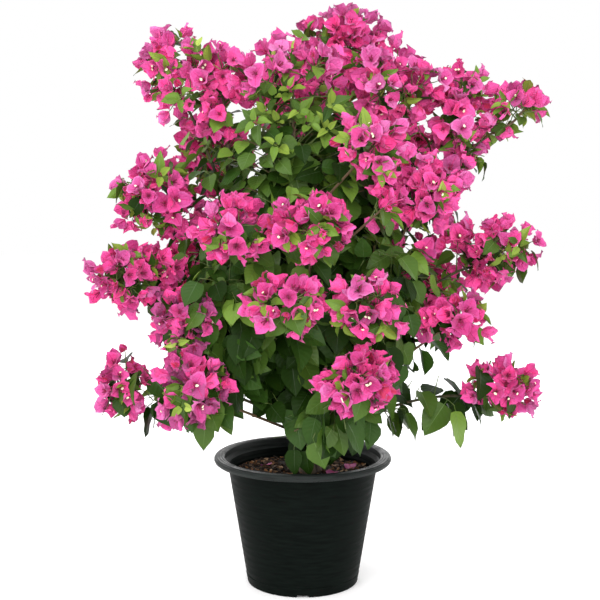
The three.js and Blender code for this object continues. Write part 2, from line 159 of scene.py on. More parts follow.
def vary_roughness(material, pattern, low, high):
    """Takes the material's roughness from low to high with a pattern."""
    settings = {**NOISE_RANGE, "To Min": low, "To Max": high}
    share = add_node(material, "ShaderNodeMapRange", settings, {"Value": pattern})
    feed(material, "Roughness", share.outputs[0])


print("patterns follow the noise from", *NOISE_RANGE.values())

# %% [markdown]
# ## The plastic of the pot
#
# The pot is injection-moulded polypropylene with carbon black: nearly black with a green cast, and greyer
# on the lip, where hands and benches scuff it. The scuffs run round the pot, as the marks of stacked pots
# do, and make the plastic a little paler and rougher.

# %% Pot finishes
POLYPROPYLENE_IOR = 1.49
SCUFFS = {"stretch": (0.12, 0.12, 1), "detail": 6.0, "least rough": 0.42, "most rough": 0.6}
MOULD_GRAIN = {"pitch": 2 * MM, "depth": 0.1 * MM}


def make_moulded_plastic(name, dark, pale, scuff_pitch, shine):
    plastic = new_finish(name, dark, 0.5, {"IOR": POLYPROPYLENE_IOR, "Specular IOR Level": shine})
    scuffs = grain(plastic, scuff_pitch, SCUFFS["stretch"], SCUFFS["detail"])
    mottle(plastic, scuffs, dark, pale)
    vary_roughness(plastic, scuffs, SCUFFS["least rough"], SCUFFS["most rough"])
    give_relief(plastic, grain(plastic, MOULD_GRAIN["pitch"]), MOULD_GRAIN["depth"])
    return plastic


POT_PLASTIC = make_moulded_plastic("Moulded black polypropylene", "#060a08", "#0c120f", 5 * MM, 0.03)
LIP_PLASTIC = make_moulded_plastic("Scuffed polypropylene of the lip", "#0b0f0e", "#1d2321", 4 * MM, 0.2)
print("pot finishes:", POT_PLASTIC.name, "and", LIP_PLASTIC.name)

# %% [markdown]
# ## The pot
#
# The real pot is one thin turned shell, so it is a profile spun round the upright axis. The profile runs
# from the middle of the underside, up the wall, round the rolled lip with its moulded ridges, down the
# inside with its stacking rings, and back to the axis. A cylinder with a ring on it would show none of
# these edges.

# %% Sizes of the pot
POT = {
    "height": 290 * MM,
    "lip radius": 200 * MM,
    "lip height": 15 * MM,
    "mouth radius": 176 * MM,
    "shoulder radius": 169 * MM,
    "base radius": 126 * MM,
    "wall": 3 * MM,
    "floor": 4 * MM,
}
STRAIGHT_WALL = {"from": 6 * MM, "to": POT["height"] - POT["lip height"] - 4 * MM}


def wall_radius(height):
    """The radius of the outside of the wall, which widens evenly from its foot to its shoulder."""
    foot, shoulder = STRAIGHT_WALL["from"], STRAIGHT_WALL["to"]
    share = (height - foot) / (shoulder - foot)
    return POT["base radius"] + share * (POT["shoulder radius"] - POT["base radius"])


print("halfway up, the wall stands", round(wall_radius(POT["height"] / 2), 3), "m from the axis")

# %% [markdown]
# The profile is a list of points, each a radius and a height. The wall's shallow rings stand a tenth of a
# millimetre proud, enough to catch the light. The lip is half a circle with fine grooves, and two broader
# grooves run round its top.

# %% Profile of the pot
WALL_RINGS = {"count": 15, "points": ((-0.05, -1), (0.1, 0), (-0.05, 1))}
LIP_GROOVES = {"at": (0, 0, 1, 0, 1, 0, 1, 0, 1, 0, 1, 0, 0), "depth": 0.7 * MM, "from": -80, "to": 84}
TOP_GROOVES = {"from the edge": (10.5 * MM, 16.5 * MM), "depth": 0.9 * MM, "half width": 1.6 * MM}
FOOT_BAND = 20 * MM


def outside_of_pot(lip_foot):
    """The underside and the wall, up to the foot of the lip."""
    base = POT["base radius"]
    # The middle of the underside is raised, and the pot stands on the ring round it.
    profile = [(0, 1.5 * MM), (98 * MM, 1.5 * MM), (101 * MM, 0), (112 * MM, 0), (117 * MM, 0)]
    profile += [(base - 3 * MM, 0), (base - 1 * MM, 1 * MM), (base, 3.5 * MM), (base, 6 * MM)]
    # The foot band ends in a small step, and shallow rings follow it up the wall.
    band_radius = wall_radius(FOOT_BAND)
    profile += [(band_radius + 0.6 * MM, FOOT_BAND), (band_radius - 0.5 * MM, FOOT_BAND + 1.2 * MM)]
    for ring in np.linspace(FOOT_BAND + 14 * MM, lip_foot - 24 * MM, WALL_RINGS["count"]):
        radius = wall_radius(ring)
        profile += [(radius + out * MM, ring + up * MM) for out, up in WALL_RINGS["points"]]
    profile += [(wall_radius(lip_foot - 8 * MM), lip_foot - 8 * MM)]
    profile += [(wall_radius(lip_foot), lip_foot - 3 * MM)]
    return profile


def lip_of_pot(lip_foot):
    """The rolled lip, from under its edge round to its top."""
    height, lip = POT["height"], POT["lip radius"]
    profile = [(POT["shoulder radius"] + 4 * MM, lip_foot - 0.8 * MM), (lip - 6 * MM, lip_foot)]
    roll = POT["lip height"] / 2
    turns = np.linspace(LIP_GROOVES["from"], LIP_GROOVES["to"], len(LIP_GROOVES["at"]))
    for turn, groove in zip(turns, LIP_GROOVES["at"]):
        bulge = math.radians(turn)
        depth = groove * LIP_GROOVES["depth"]
        reach = roll * math.cos(bulge) - depth
        profile += [(lip - roll + reach, lip_foot + roll + (roll - depth) * math.sin(bulge))]
    for inwards in TOP_GROOVES["from the edge"]:
        groove, side = lip - inwards, TOP_GROOVES["half width"]
        profile += [(groove + side, height), (groove, height - TOP_GROOVES["depth"]), (groove - side, height)]
    return profile


def inside_of_pot(lip_foot):
    """The mouth, the stacking rings and the floor."""
    height, mouth, wall = POT["height"], POT["mouth radius"], POT["wall"]
    profile = [(mouth + 3 * MM, height - 1 * MM), (mouth + 0.8 * MM, height - 2.4 * MM)]
    profile += [(mouth, height - 5 * MM), (mouth - 1 * MM, lip_foot + 2 * MM)]
    profile += [(POT["shoulder radius"] - wall, lip_foot - 6 * MM)]
    for ring in (lip_foot - 14 * MM, lip_foot - 22 * MM):
        radius = wall_radius(ring) - wall
        profile += [(radius, ring + 1.5 * MM), (radius - 0.8 * MM, ring), (radius, ring - 1.5 * MM)]
    return profile + [(POT["base radius"] - wall, POT["floor"]), (0, POT["floor"])]


def pot_profile():
    lip_foot = POT["height"] - POT["lip height"]
    return outside_of_pot(lip_foot) + lip_of_pot(lip_foot) + inside_of_pot(lip_foot)


print("the profile has", len(pot_profile()), "points")

# %% [markdown]
# Spinning leaves one closed skin. Boolean cuts for the drain notches would break up its clean rings, so the
# notches are pulled up out of the spun mesh instead: the foot of the wall is lifted where each notch is.

# %% Spin the pot
NOTCH = {"count": 4, "width": 26 * MM, "height": 7 * MM, "depth": 10 * MM}
SPIN_STEPS = 160


def spin_profile(profile, steps):
    """A closed bmesh from a profile of (radius, height) that starts and ends on the upright axis."""
    bm = bmesh.new()
    verts = [bm.verts.new((radius, 0, height)) for radius, height in profile]
    edges = [bm.edges.new(pair) for pair in zip(verts, verts[1:])]
    bmesh.ops.spin(
        bm, geom=verts + edges, cent=(0, 0, 0), axis=UP, angle=FULL_TURN, steps=steps, use_merge=True
    )
    bmesh.ops.remove_doubles(bm, verts=bm.verts, dist=0.01 * MM)
    bmesh.ops.recalc_face_normals(bm, faces=bm.faces)
    return bm


def pull_up_notches(bm):
    """Lifts the foot of the wall into an arch at each drain notch."""
    half_angle = NOTCH["width"] / 2 / POT["base radius"]
    pitch = FULL_TURN / NOTCH["count"]
    for vert in bm.verts:
        turn = math.atan2(vert.co.y, vert.co.x)
        off_middle = abs(turn - round(turn / pitch) * pitch)
        is_foot = vert.co.z <= NOTCH["height"] and vert.co.xy.length > POT["base radius"] - NOTCH["depth"]
        if is_foot and off_middle < half_angle:
            vert.co.z = NOTCH["height"]


spun_pot = spin_profile(pot_profile(), SPIN_STEPS)
pull_up_notches(spun_pot)
print("the spun pot has", len(spun_pot.faces), "faces")

# %% [markdown]
# Every piece is an object at the origin that rides on the plant's one body. The pot's wall and its lip are
# one mesh with two finishes, and edges sharper than a moulding's soft ones are kept sharp in the shading.

# %% The pot as a piece
SHARP_ANGLE = math.radians(38)
LIP_FINISH_FROM = POT["height"] - POT["lip height"] - 2 * MM


def stood_in_scene(name, data):
    """A new object at the origin with this data."""
    item = bpy.data.objects.new(name, data)
    bpy.context.scene.collection.objects.link(item)
    return item


def shown(mesh):
    """A mesh as a new piece of the plant."""
    piece = stood_in_scene(mesh.name, mesh)
    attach(piece, "root")
    print(mesh.name, "has", sum(len(face.vertices) - 2 for face in mesh.polygons), "triangles")
    return piece


def piece_from(bm, name, materials):
    """A bmesh as a new smooth piece."""
    mesh = bpy.data.meshes.new(name)
    for material in materials:
        mesh.materials.append(material)
    for face in bm.faces:
        face.smooth = True
    bm.to_mesh(mesh)
    bm.free()
    return shown(mesh)


for face in spun_pot.faces:
    face.material_index = int(face.calc_center_median().z > LIP_FINISH_FROM)
pot = piece_from(spun_pot, "nursery_pot", [POT_PLASTIC, LIP_PLASTIC])
pot.data.set_sharp_from_angle(angle=SHARP_ANGLE)
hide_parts("pot")

# %% [markdown]
# ## Seeded numbers
#
# The source grows each mass from its own seeded numbers, so the same generator is written here again, and
# the same masses give the same twigs. Its large constants only stir the bits of a 32-bit number well.

# %% Seeded numbers
def seeded_random(seed):
    """Numbers from 0 to 1, the same on every run."""
    state = seed
    whole = 0xFFFFFFFF

    def draw():
        nonlocal state
        state = (state + 0x6D2B79F5) & whole
        t = ((state ^ (state >> 15)) * (state | 1)) & whole
        t ^= (t + (((t ^ (t >> 7)) * (t | 61)) & whole)) & whole
        return ((t ^ (t >> 14)) & whole) / (whole + 1)

    return draw


def between(random, low, high):
    return low + (high - low) * random()


def random_vector(random):
    return Vector((random() - 0.5, random() - 0.5, random() - 0.5))


print("first number of seed 101:", round(seeded_random(101)(), 4))

# %% [markdown]
# ## Curves
#
# Limbs and twigs grow in bows, not in straight lines. Each follows a smooth curve that is measured along its
# length, so that half the way is the middle of a short twig and of a long stem. Blender's own curve
# objects would do, but numbers are quicker for thousands of twigs.

# %% Curves
class Curve:
    """A bow drawn by its ends and up to two control points between them, measured along its length."""

    def __init__(self, *control, fineness=16):
        degree = len(control) - 1
        t = np.linspace(0, 1, fineness + 1)[:, None]
        weights = [math.comb(degree, k) * t**k * (1 - t) ** (degree - k) for k in range(degree + 1)]
        self.points = sum(weight * np.array(point) for weight, point in zip(weights, control))
        steps = np.linalg.norm(np.diff(self.points, axis=0), axis=1)
        self.reached = np.concatenate([[0], np.cumsum(steps)])
        self.length = self.reached[-1]

    def places(self, shares):
        """The places at these shares of the length, one row each."""
        distances = np.asarray(shares) * self.length
        return np.stack([np.interp(distances, self.reached, self.points[:, k]) for k in range(3)], axis=-1)

    def at(self, share):
        return Vector(self.places(share))

    def along(self, share):
        """The direction of the curve at a share of its length."""
        return (self.at(min(share + 0.02, 1)) - self.at(max(share - 0.02, 0))).normalized()


print("a bow 1 m wide and 0.5 m high is", round(Curve((0, 0, 0), (0.5, 0, 1), (1, 0, 0)).length, 3), "m long")

# %% [markdown]
# ## Joined copies of small shapes
#
# A bush has thousands of leaves and bracts, which would be far too many objects. So each kind of small
# shape is modelled once with bmesh operators and read into arrays, and a spray collects its copies and
# joins them into one mesh. Instances would do this too, but the export wants real meshes.

# %% Shapes as arrays
SHAPES = {}


def keep_shape(name, bm):
    """Reads a bmesh into arrays under a name. A face's material index is its role in the copy's look."""
    uv = bm.loops.layers.uv.verify()
    bm.verts.index_update()
    corners = [corner for face in bm.faces for corner in face.loops]
    SHAPES[name] = {
        "places": np.array([vert.co for vert in bm.verts]),
        "corners": np.array([corner.vert.index for corner in corners]),
        "sizes": np.array([len(face.verts) for face in bm.faces]),
        "roles": np.array([face.material_index for face in bm.faces]),
        "map": np.array([corner[uv].uv for corner in corners]),
    }
    bm.free()
    print("shape", name, "has", len(SHAPES[name]["sizes"]), "faces")


# %% [markdown]
# A spray keeps each copy as its moved points and the number of its look. Joining lays the copies end to
# end, so that the corners of each copy count on from the last one's vertices, and hands the arrays to
# Blender at once.

# %% Sprays
class Spray:
    """Copies of small shapes that become one joined mesh."""

    def __init__(self):
        self.copies = {}

    def add_points(self, shape, points, look=0):
        self.copies.setdefault(shape, []).append((points, look))

    def add(self, shape, turn, place, look=0):
        """A copy of a shape, turned and scaled by a 3 by 3 matrix and moved to a place."""
        points = SHAPES[shape]["places"] @ np.array(turn).T + np.array(place)
        self.add_points(shape, points, look)

    def count(self):
        return sum(len(copies) for copies in self.copies.values())

    def end_to_end(self, slots_by_look):
        """The arrays of a mesh of all the copies."""
        parts = {"places": [], "corners": [], "sizes": [], "slots": [], "map": []}
        offset = 0
        for shape_name, copies in sorted(self.copies.items()):
            shape = SHAPES[shape_name]
            number, size = len(copies), len(shape["places"])
            chosen = np.array([look for _, look in copies])
            starts = offset + size * np.arange(number)[:, None]
            parts["places"].append(np.concatenate([points for points, _ in copies]))
            parts["corners"].append((starts + shape["corners"][None, :]).ravel())
            parts["sizes"].append(np.tile(shape["sizes"], number))
            parts["slots"].append(slots_by_look[chosen[:, None], shape["roles"][None, :]].ravel())
            parts["map"].append(np.tile(shape["map"], (number, 1)))
            offset += number * size
        return {key: np.concatenate(rows) for key, rows in parts.items()}

    def joined(self, name, looks):
        """The copies as one piece. A look is the materials of a copy's faces, by their role."""
        materials = list(dict.fromkeys(material for look in looks for material in look))
        slots_by_look = np.array([[materials.index(material) for material in look] for look in looks])
        parts = self.end_to_end(slots_by_look)
        mesh = bpy.data.meshes.new(name)
        mesh.vertices.add(len(parts["places"]))
        mesh.vertices.foreach_set("co", parts["places"].astype(np.float32).ravel())
        mesh.loops.add(len(parts["corners"]))
        mesh.loops.foreach_set("vertex_index", parts["corners"].astype(np.int32))
        mesh.polygons.add(len(parts["sizes"]))
        starts = np.concatenate([[0], np.cumsum(parts["sizes"])[:-1]])
        mesh.polygons.foreach_set("loop_start", starts.astype(np.int32))
        mesh.polygons.foreach_set("material_index", parts["slots"].astype(np.int32))
        mesh.polygons.foreach_set("use_smooth", np.ones(len(starts), bool))
        mesh.uv_layers.new(name="across_and_along")
        mesh.uv_layers[0].data.foreach_set("uv", parts["map"].astype(np.float32).ravel())
        for material in materials:
            mesh.materials.append(material)
        mesh.update(calc_edges=True)
        mesh.validate()
        return shown(mesh)


print("a new spray holds", Spray().count(), "copies")

# %% [markdown]
# A tube is a small shape too. A plain one is kept for each number of sides and steps, and its rings are
# then set along a curve. Each ring takes its sideways direction from the one before it, so the tube never
# twists.

# %% Tubes bent onto curves
def keep_tube_shape(sides, steps):
    """A capped tube round +Z, from 0 to 1, with this many sides and steps."""
    name = f"tube {sides} by {steps}"
    if name in SHAPES:
        return name
    bm = bmesh.new()
    lift = Matrix.Translation((0, 0, 0.5))
    bmesh.ops.create_cone(bm, cap_ends=True, segments=sides, radius1=1, radius2=1, depth=1, matrix=lift)
    uprights = [edge for edge in bm.edges if abs(edge.verts[0].co.z - edge.verts[1].co.z) > 0.5]
    if steps > 1:
        bmesh.ops.subdivide_edges(bm, edges=uprights, cuts=steps - 1)
    keep_shape(name, bm)
    return name


def ring_frames(curve, steps):
    """The middle of each ring of a tube along a curve, and two directions across it that never twist."""
    middles = curve.places(np.linspace(0, 1, steps + 1))
    along = np.gradient(middles, axis=0)
    along /= np.linalg.norm(along, axis=1)[:, None]
    start = np.cross(along[0], (1.0, 0.0, 0.0) if abs(along[0][0]) < 0.8 else (0.0, 1.0, 0.0))
    across = [start / np.linalg.norm(start)]
    for direction in along[1:]:
        carried = across[-1] - direction * np.dot(across[-1], direction)
        across.append(carried / np.linalg.norm(carried))
    across = np.array(across)
    return middles, across, np.cross(along, across)


def add_tube(spray, curve, root_radius, tip_radius, sides, steps, look=0, swell=None):
    """A tapering tube along a curve. Swell gives what the surface stands out by at each share and turn."""
    shape = keep_tube_shape(sides, steps)
    places = SHAPES[shape]["places"]
    middles, across, beside = ring_frames(curve, steps)
    shares = places[:, 2]
    rings = np.rint(shares * steps).astype(int)
    radii = root_radius + (tip_radius - root_radius) * shares
    if swell is not None:
        turns = np.arctan2(places[:, 1], places[:, 0])
        radii = radii + np.array([swell(share, turn) for share, turn in zip(shares, turns)])
    points = middles[rings] + across[rings] * (places[:, 0] * radii)[:, None]
    points += beside[rings] * (places[:, 1] * radii)[:, None]
    spray.add_points(shape, points, look)


corner_of_bow = ring_frames(Curve((0, 0, 0), (0, 0, 1), (1, 0, 1)), 2)[0][1]
print("the middle ring of a bow stands at", corner_of_bow.round(2).tolist())

# %% [markdown]
# ## Bark
#
# The woody stems are grey-brown and furrowed along their length, and young canes turn from green to brown.
# The furrows are real relief in the mesh, because the exported shape has to show them. The finish adds
# cracks about 2 mm apart, longer along the stem, and lichen-grey patches.

# %% Bark finishes
BARK_PATCHES = {"pitch": 14 * MM, "stretch": (1, 1, 0.3), "detail": 6.0}
BARK_CRACKS = {"pitch": 2.2 * MM, "stretch": (1, 1, 0.25), "detail": 8.0}
CANE_STREAKS = {"pitch": 1.5 * MM, "stretch": (1, 1, 0.3)}


def make_bark(name, dark, pale):
    bark = new_finish(name, dark, 0.88)
    mottle(bark, grain(bark, **BARK_PATCHES), dark, pale)
    cracks = grain(bark, **BARK_CRACKS)
    vary_roughness(bark, cracks, 0.78, 0.96)
    give_relief(bark, cracks, 0.6 * MM)
    return bark


def make_cane(name, colour, roughness):
    """A young cane: smooth green or brown skin with fine streaks along it."""
    cane = new_finish(name, colour, roughness)
    give_relief(cane, grain(cane, **CANE_STREAKS), 0.25 * MM)
    return cane


BARK = make_bark("Furrowed grey-brown bark", "#2c211a", "#6b5b4a")
YOUNG_WOOD = make_bark("Smoother bark of a bough", "#2b2817", "#524c2e")
BROWN_CANE = make_cane("Ripening brown cane", "#5b4730", 0.7)
GREEN_CANE = make_cane("Young green cane", "#56682f", 0.6)
PALE_CANE = make_cane("Soft tip of a cane", "#8d9a4e", 0.5)
print("bark finishes:", [material.name for material in (BARK, YOUNG_WOOD, BROWN_CANE, GREEN_CANE, PALE_CANE)])

# %% [markdown]
# ## Trunk, stems and boughs
#
# The limbs repeat the source's tables and curves. The trunk leans a little above its flared foot, four
# stems leave it just above the soil and bow outwards before they climb, and a bough leaves a stem for each
# mass that stands well out. Each becomes a many-sided tube whose surface is moved in and out by the bark's
# relief.

# %% Limb tables
def place(angle, reach, height):
    """A place by compass angle in degrees (0 right, -90 front), reach and height in millimetres."""
    turn = math.radians(angle)
    return Vector((reach * math.cos(turn), reach * math.sin(turn), height)) * MM


SOIL_LEVEL = 250 * MM
TRUNK_FOOT = Vector((15, 0, 250.3)) * MM
TRUNK_LEAN = [Vector(point) * MM for point in ((15, 0, 480), (-22, 14, 760), (18, 8, 1060))]
# Each stem has a name, how far up the trunk it leaves, the place of its bow and the place of its tip.
STEMS = [
    ("stem_left", 0.05, place(184, 112, 470), place(196, 168, 985)),
    ("stem_right", 0.03, place(4, 128, 440), place(-16, 172, 990)),
    ("stem_front", 0.08, place(-84, 122, 470), place(-98, 142, 1010)),
    ("stem_rear", 0.06, place(86, 124, 480), place(88, 146, 1010)),
]
print("the trunk and", len(STEMS), "stems")

# %% [markdown]
# A mass has a name, the limb that carries it, how far along that limb it leaves, the place of its middle,
# its half sizes and its number of twigs. The masses with a bough of their own are marked.

# %% Mass tables
def mass(name, on, leaves, middle, half, twigs, bough=False):
    at, half = place(*middle), Vector(half) * MM
    return {"name": name, "on": on, "leaves": leaves, "at": at, "half": half, "twigs": twigs, "bough": bough}


BLOSSOM_MASSES = [
    mass("crest", "trunk", 1, (30, 80, 1203), (112, 85, 82), 5),
    mass("top_left", "stem_left", 1, (199, 192, 1085), (103, 88, 94), 5),
    mass("top_centre", "stem_front", 1, (-98, 128, 1100), (106, 80, 78), 4),
    mass("top_right", "stem_right", 1, (-17, 186, 1092), (108, 88, 92), 5),
    mass("top_rear", "stem_rear", 1, (88, 150, 1105), (125, 85, 88), 5),
    mass("left_peak", "stem_left", 0.8, (184, 302, 1150), (66, 56, 92), 3, True),
    mass("left_shoulder", "stem_left", 0.5, (185, 322, 876), (112, 95, 92), 5, True),
    mass("left_arm", "stem_left", 0.33, (192, 366, 716), (110, 88, 80), 5, True),
    mass("left_low", "stem_left", 0.22, (216, 275, 615), (90, 72, 70), 4),
    mass("left_foot", "stem_left", 0.1, (222, 304, 470), (78, 70, 86), 4),
    mass("left_tip", "stem_left", 0.14, (186, 402, 472), (58, 52, 96), 3, True),
    mass("right_peak", "stem_right", 0.72, (1, 340, 1062), (70, 62, 128), 4, True),
    mass("right_spray", "stem_right", 0.6, (-1, 474, 1058), (84, 50, 58), 3, True),
    mass("right_shoulder", "stem_right", 0.46, (-29, 286, 880), (86, 76, 88), 4),
    mass("right_arm", "stem_right", 0.34, (-3, 436, 766), (116, 84, 86), 5, True),
    mass("right_low", "stem_right", 0.2, (-26, 352, 612), (84, 70, 62), 3),
    mass("right_tip", "stem_right", 0.1, (-10, 446, 450), (92, 66, 68), 3, True),
    mass("front_peak", "stem_front", 0.72, (-62, 296, 975), (78, 58, 58), 3),
    mass("front_right", "stem_front", 0.56, (-60, 302, 844), (56, 52, 50), 3),
    mass("front_left", "stem_front", 0.5, (-117, 312, 808), (68, 58, 70), 3),
    mass("front_heart", "stem_front", 0.42, (-86, 306, 812), (88, 66, 74), 5),
    mass("front_low_left", "stem_front", 0.24, (-95, 338, 665), (84, 62, 66), 4),
    mass("front_low_right", "stem_front", 0.2, (-69, 350, 664), (88, 64, 70), 4),
    mass("front_foot", "stem_front", 0.05, (-70, 330, 508), (78, 62, 64), 4),
    mass("rear_peak_left", "stem_rear", 0.62, (134, 300, 975), (108, 92, 92), 5, True),
    mass("rear_peak_right", "stem_rear", 0.56, (46, 305, 965), (108, 92, 92), 5, True),
    mass("rear_heart", "stem_rear", 0.36, (92, 345, 800), (118, 86, 84), 5),
    mass("rear_left", "stem_left", 0.26, (144, 350, 690), (100, 94, 86), 4, True),
    mass("rear_right", "stem_right", 0.26, (38, 358, 660), (104, 94, 86), 4, True),
    mass("rear_foot", "stem_rear", 0.12, (98, 325, 560), (112, 82, 78), 4),
]
LEAF_MASSES = [
    mass("leaves_low", "trunk", 0.05, (-48, 95, 405), (190, 150, 105), 8),
    mass("leaves_front_left", "trunk", 0.22, (-138, 170, 640), (140, 135, 165), 7),
    mass("leaves_front_right", "trunk", 0.26, (-42, 180, 655), (140, 135, 165), 7),
    mass("leaves_rear_left", "trunk", 0.3, (135, 175, 690), (140, 130, 165), 6),
    mass("leaves_rear_right", "trunk", 0.34, (43, 180, 680), (140, 130, 165), 6),
    mass("leaves_upper", "trunk", 0.6, (40, 45, 905), (175, 150, 120), 9),
]
FIRST_SEED = 101
for index, each in enumerate(BLOSSOM_MASSES + LEAF_MASSES):
    each["random"] = seeded_random(FIRST_SEED + index)
print(len(BLOSSOM_MASSES), "masses of blossom and", len(LEAF_MASSES), "of leaves")

# %% [markdown]
# The curves are the source's, so the fine limbs lie in the solids. A stem's first control point takes it
# out and a little up, and its second brings it round towards its tip. A bough bows out before it climbs,
# and stops at the near side of its mass.

# %% Limb curves
LIMB_FINENESS = 80
# Shares of the way at which the control points stand, as in the source. "up" is in millimetres.
STEM_BOW = {"out": 0.55, "up": 45, "on": 0.4, "still out": 0.35}
BOUGH_BOW = {"out": (0.32, 0.72), "climbed": (0.3, 0.78), "rise": 0.1, "into the mass": 0.95}
LIMB_RADII = {"trunk": (15 * MM, 5 * MM), "stem": (9 * MM, 4.5 * MM), "bough": (5 * MM, 3.4 * MM)}
LIMBS = {}


def add_limb(name, curve):
    root_radius, tip_radius = LIMB_RADII[name.split("_")[0]]
    LIMBS[name] = {"curve": curve, "root radius": root_radius, "tip radius": tip_radius}


def find_stem_curve(trunk, leaves, bow, tip):
    root = trunk.at(leaves)
    outward = (bow - root) * Vector((1, 1, 0))
    first = root + outward * STEM_BOW["out"] + UP * STEM_BOW["up"] * MM
    second = bow.lerp(tip, STEM_BOW["on"]) + outward * STEM_BOW["still out"]
    return Curve(root, first, second, tip, fineness=LIMB_FINENESS)


def find_bough_curve(limb, each):
    """Bowed out first and then up, to the near side of the mass."""
    root = limb.at(each["leaves"])
    way = each["at"] - root
    tip = root + way * (1 - BOUGH_BOW["into the mass"] * min(each["half"]) / way.length)
    outward = (tip - root) * Vector((1, 1, 0))
    climb = UP * (tip.z - root.z)
    rise = UP * BOUGH_BOW["rise"] * (tip - root).length
    shares = zip(BOUGH_BOW["out"], BOUGH_BOW["climbed"])
    controls = [root + outward * out + climb * climbed + rise for out, climbed in shares]
    return Curve(root, *controls, tip, fineness=LIMB_FINENESS)


TRUNK_CURVE = Curve(TRUNK_FOOT, *TRUNK_LEAN, fineness=LIMB_FINENESS)
add_limb("trunk", TRUNK_CURVE)
for stem_name, leaves, bow, tip in STEMS:
    add_limb(stem_name, find_stem_curve(TRUNK_CURVE, leaves, bow, tip))
for each in BLOSSOM_MASSES:
    if each["bough"]:
        add_limb("bough_" + each["name"], find_bough_curve(LIMBS[each["on"]]["curve"], each))
print(len(LIMBS), "limbs")

# %% [markdown]
# The limbs end where the solids' do. The blossom of a few masses hangs a little to one side of the middle
# of its solid, as the weight of the heads and the light draw it.

# %% Where the blossom leans
# How far the blossom's middle moves across and up, in millimetres, and what its height is multiplied by.
LEANS = {
    "crest": (20, 0, 1),
    "top_left": (0, 14, 1),
    "left_peak": (18, 0, 1),
    "left_arm": (-8, -10, 1),
    "left_low": (-20, -8, 1),
    "left_tip": (3, -8, 1),
    "right_peak": (6, -18, 1.1),
    "right_arm": (-14, -18, 1),
    "right_tip": (-8, 6, 1),
}
for each in BLOSSOM_MASSES:
    across, up, stretch = LEANS.get(each["name"], (0, 0, 1))
    each["at"] = each["at"] + Vector((across, 0, up)) * MM
    each["half"].z *= stretch
print(len(LEANS), "masses of blossom lean to a side")

# %% [markdown]
# The relief has three parts: a flare that widens the foot, furrows that wander along the limb, and a
# swelling at each old leaf joint. Each part scales with the limb, because bark thickens as the wood does.

# %% Relief of the bark
FLARE = {"share": 0.7, "fade": 14, "lobes": 3, "lobe share": 0.35}
FURROW = {"depth": 0.13, "round": 2.6, "along": 55 * MM, "finer": 2.3}
JOINT = {"pitch": 34 * MM, "share": 0.1, "sharpness": 14}
STEP_IN_NOISE = 7.0  # moves each limb to a part of the noise of its own


def bark_relief(name):
    """What the bark of a limb stands out by, at a share of its length and a turn round it."""
    limb = LIMBS[name]
    length = limb["curve"].length
    root, tip = limb["root radius"], limb["tip radius"]
    shift = STEP_IN_NOISE * sorted(LIMBS).index(name)
    flare = FLARE["share"] if name == "trunk" else 0.0

    def swell(share, turn):
        radius = root + (tip - root) * share
        lobes = 1 + FLARE["lobe share"] * math.sin(FLARE["lobes"] * turn + shift)
        foot = flare * lobes * (1 - share) ** FLARE["fade"]
        here = Vector((math.cos(turn), math.sin(turn), 0)) * FURROW["round"]
        here.z = share * length / FURROW["along"] + shift
        furrow = FURROW["depth"] * (noise.noise(here) + 0.5 * noise.noise(here * FURROW["finer"]))
        past_joint = (share * length / JOINT["pitch"]) % 1.0
        joint = JOINT["share"] * math.exp(-JOINT["sharpness"] * min(past_joint, 1 - past_joint))
        return radius * (foot + furrow + joint)

    return swell


print("the trunk's foot stands out by", round(bark_relief("trunk")(0, 0) / MM, 1), "mm")

# %% [markdown]
# The old wood gets more sides and closer rings than the boughs, which are younger, smoother and a little
# slimmer than the solids.

# %% Dress the limbs in bark
OLD_WOOD = {"sides": 20, "ring pitch": 4 * MM, "slimness": 1.0, "look": 0}
YOUNG_BOUGH = {"sides": 12, "ring pitch": 6 * MM, "slimness": 0.75, "look": 1}

bark_limbs = Spray()
for name, limb in LIMBS.items():
    wood = YOUNG_BOUGH if name.startswith("bough") else OLD_WOOD
    steps = round(limb["curve"].length / wood["ring pitch"])
    radii = (limb["root radius"] * wood["slimness"], limb["tip radius"] * wood["slimness"])
    add_tube(bark_limbs, limb["curve"], *radii, wood["sides"], steps, wood["look"], swell=bark_relief(name))
limbs_piece = bark_limbs.joined("bark_limbs", [(BARK,), (YOUNG_WOOD,)])
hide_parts(*LIMBS)

# %% [markdown]
# ## Bracts, flowers and leaves
#
# What looks like a petal is a bract, a coloured leaf as thin as paper. Three bracts stand round three
# slender tubes, and one or two of the tubes open in a small cream star. Bracts and leaves are thin enough
# to be single sheets. Each starts as a small grid, whose rows are drawn in to the outline and then bent. A
# flat card with a picture of a leaf would be lighter, but it has no shape of its own to export.

# %% Outline of a blade
def blade_width(share, widest, pointed):
    """The width of a blade at a share of its length, 1 where it is widest. Pointed draws out its tip."""
    rise = pointed * widest / (1 - widest)
    top = widest**rise * (1 - widest) ** pointed
    return share**rise * (1 - share) ** pointed / top


def new_grid(across, along):
    """A grid whose X goes from -1 to 1 and whose Y goes from 0 to 1, mapped the same way."""
    bm = bmesh.new()
    shift = Matrix.Translation((0, 0.5, 0)) @ Matrix.Diagonal((2, 1, 1, 1))
    bm.loops.layers.uv.new("across_and_along")
    bmesh.ops.create_grid(bm, x_segments=across, y_segments=along, size=0.5, matrix=shift, calc_uvs=True)
    return bm


print("a heart's widths from stalk to tip:", [round(blade_width(s, 0.36, 1.15), 2) for s in (0.1, 0.36, 0.7)])

# %% [markdown]
# A bract is nearly as broad as it is long and ends in a short point. It leaves its floret's axis steeply
# and flattens out, its rib lies in a crease, and its edge is ruffled, no two alike. The faces at its root
# are its magenta throat and the outer ones its paler margin.

# %% Rows and roles of a bract
BRACT = {"length": 39 * MM, "width": 37 * MM, "widest": 0.42, "pointed": 0.82, "rows": 6, "rib": 1.7 * MM}
BLADE, THROAT, MARGIN = range(3)
RIB_FACES = {"within": 0.1, "up to": 0.8}
THROAT_FACES = {"within": 0.7, "rows": 1.5}


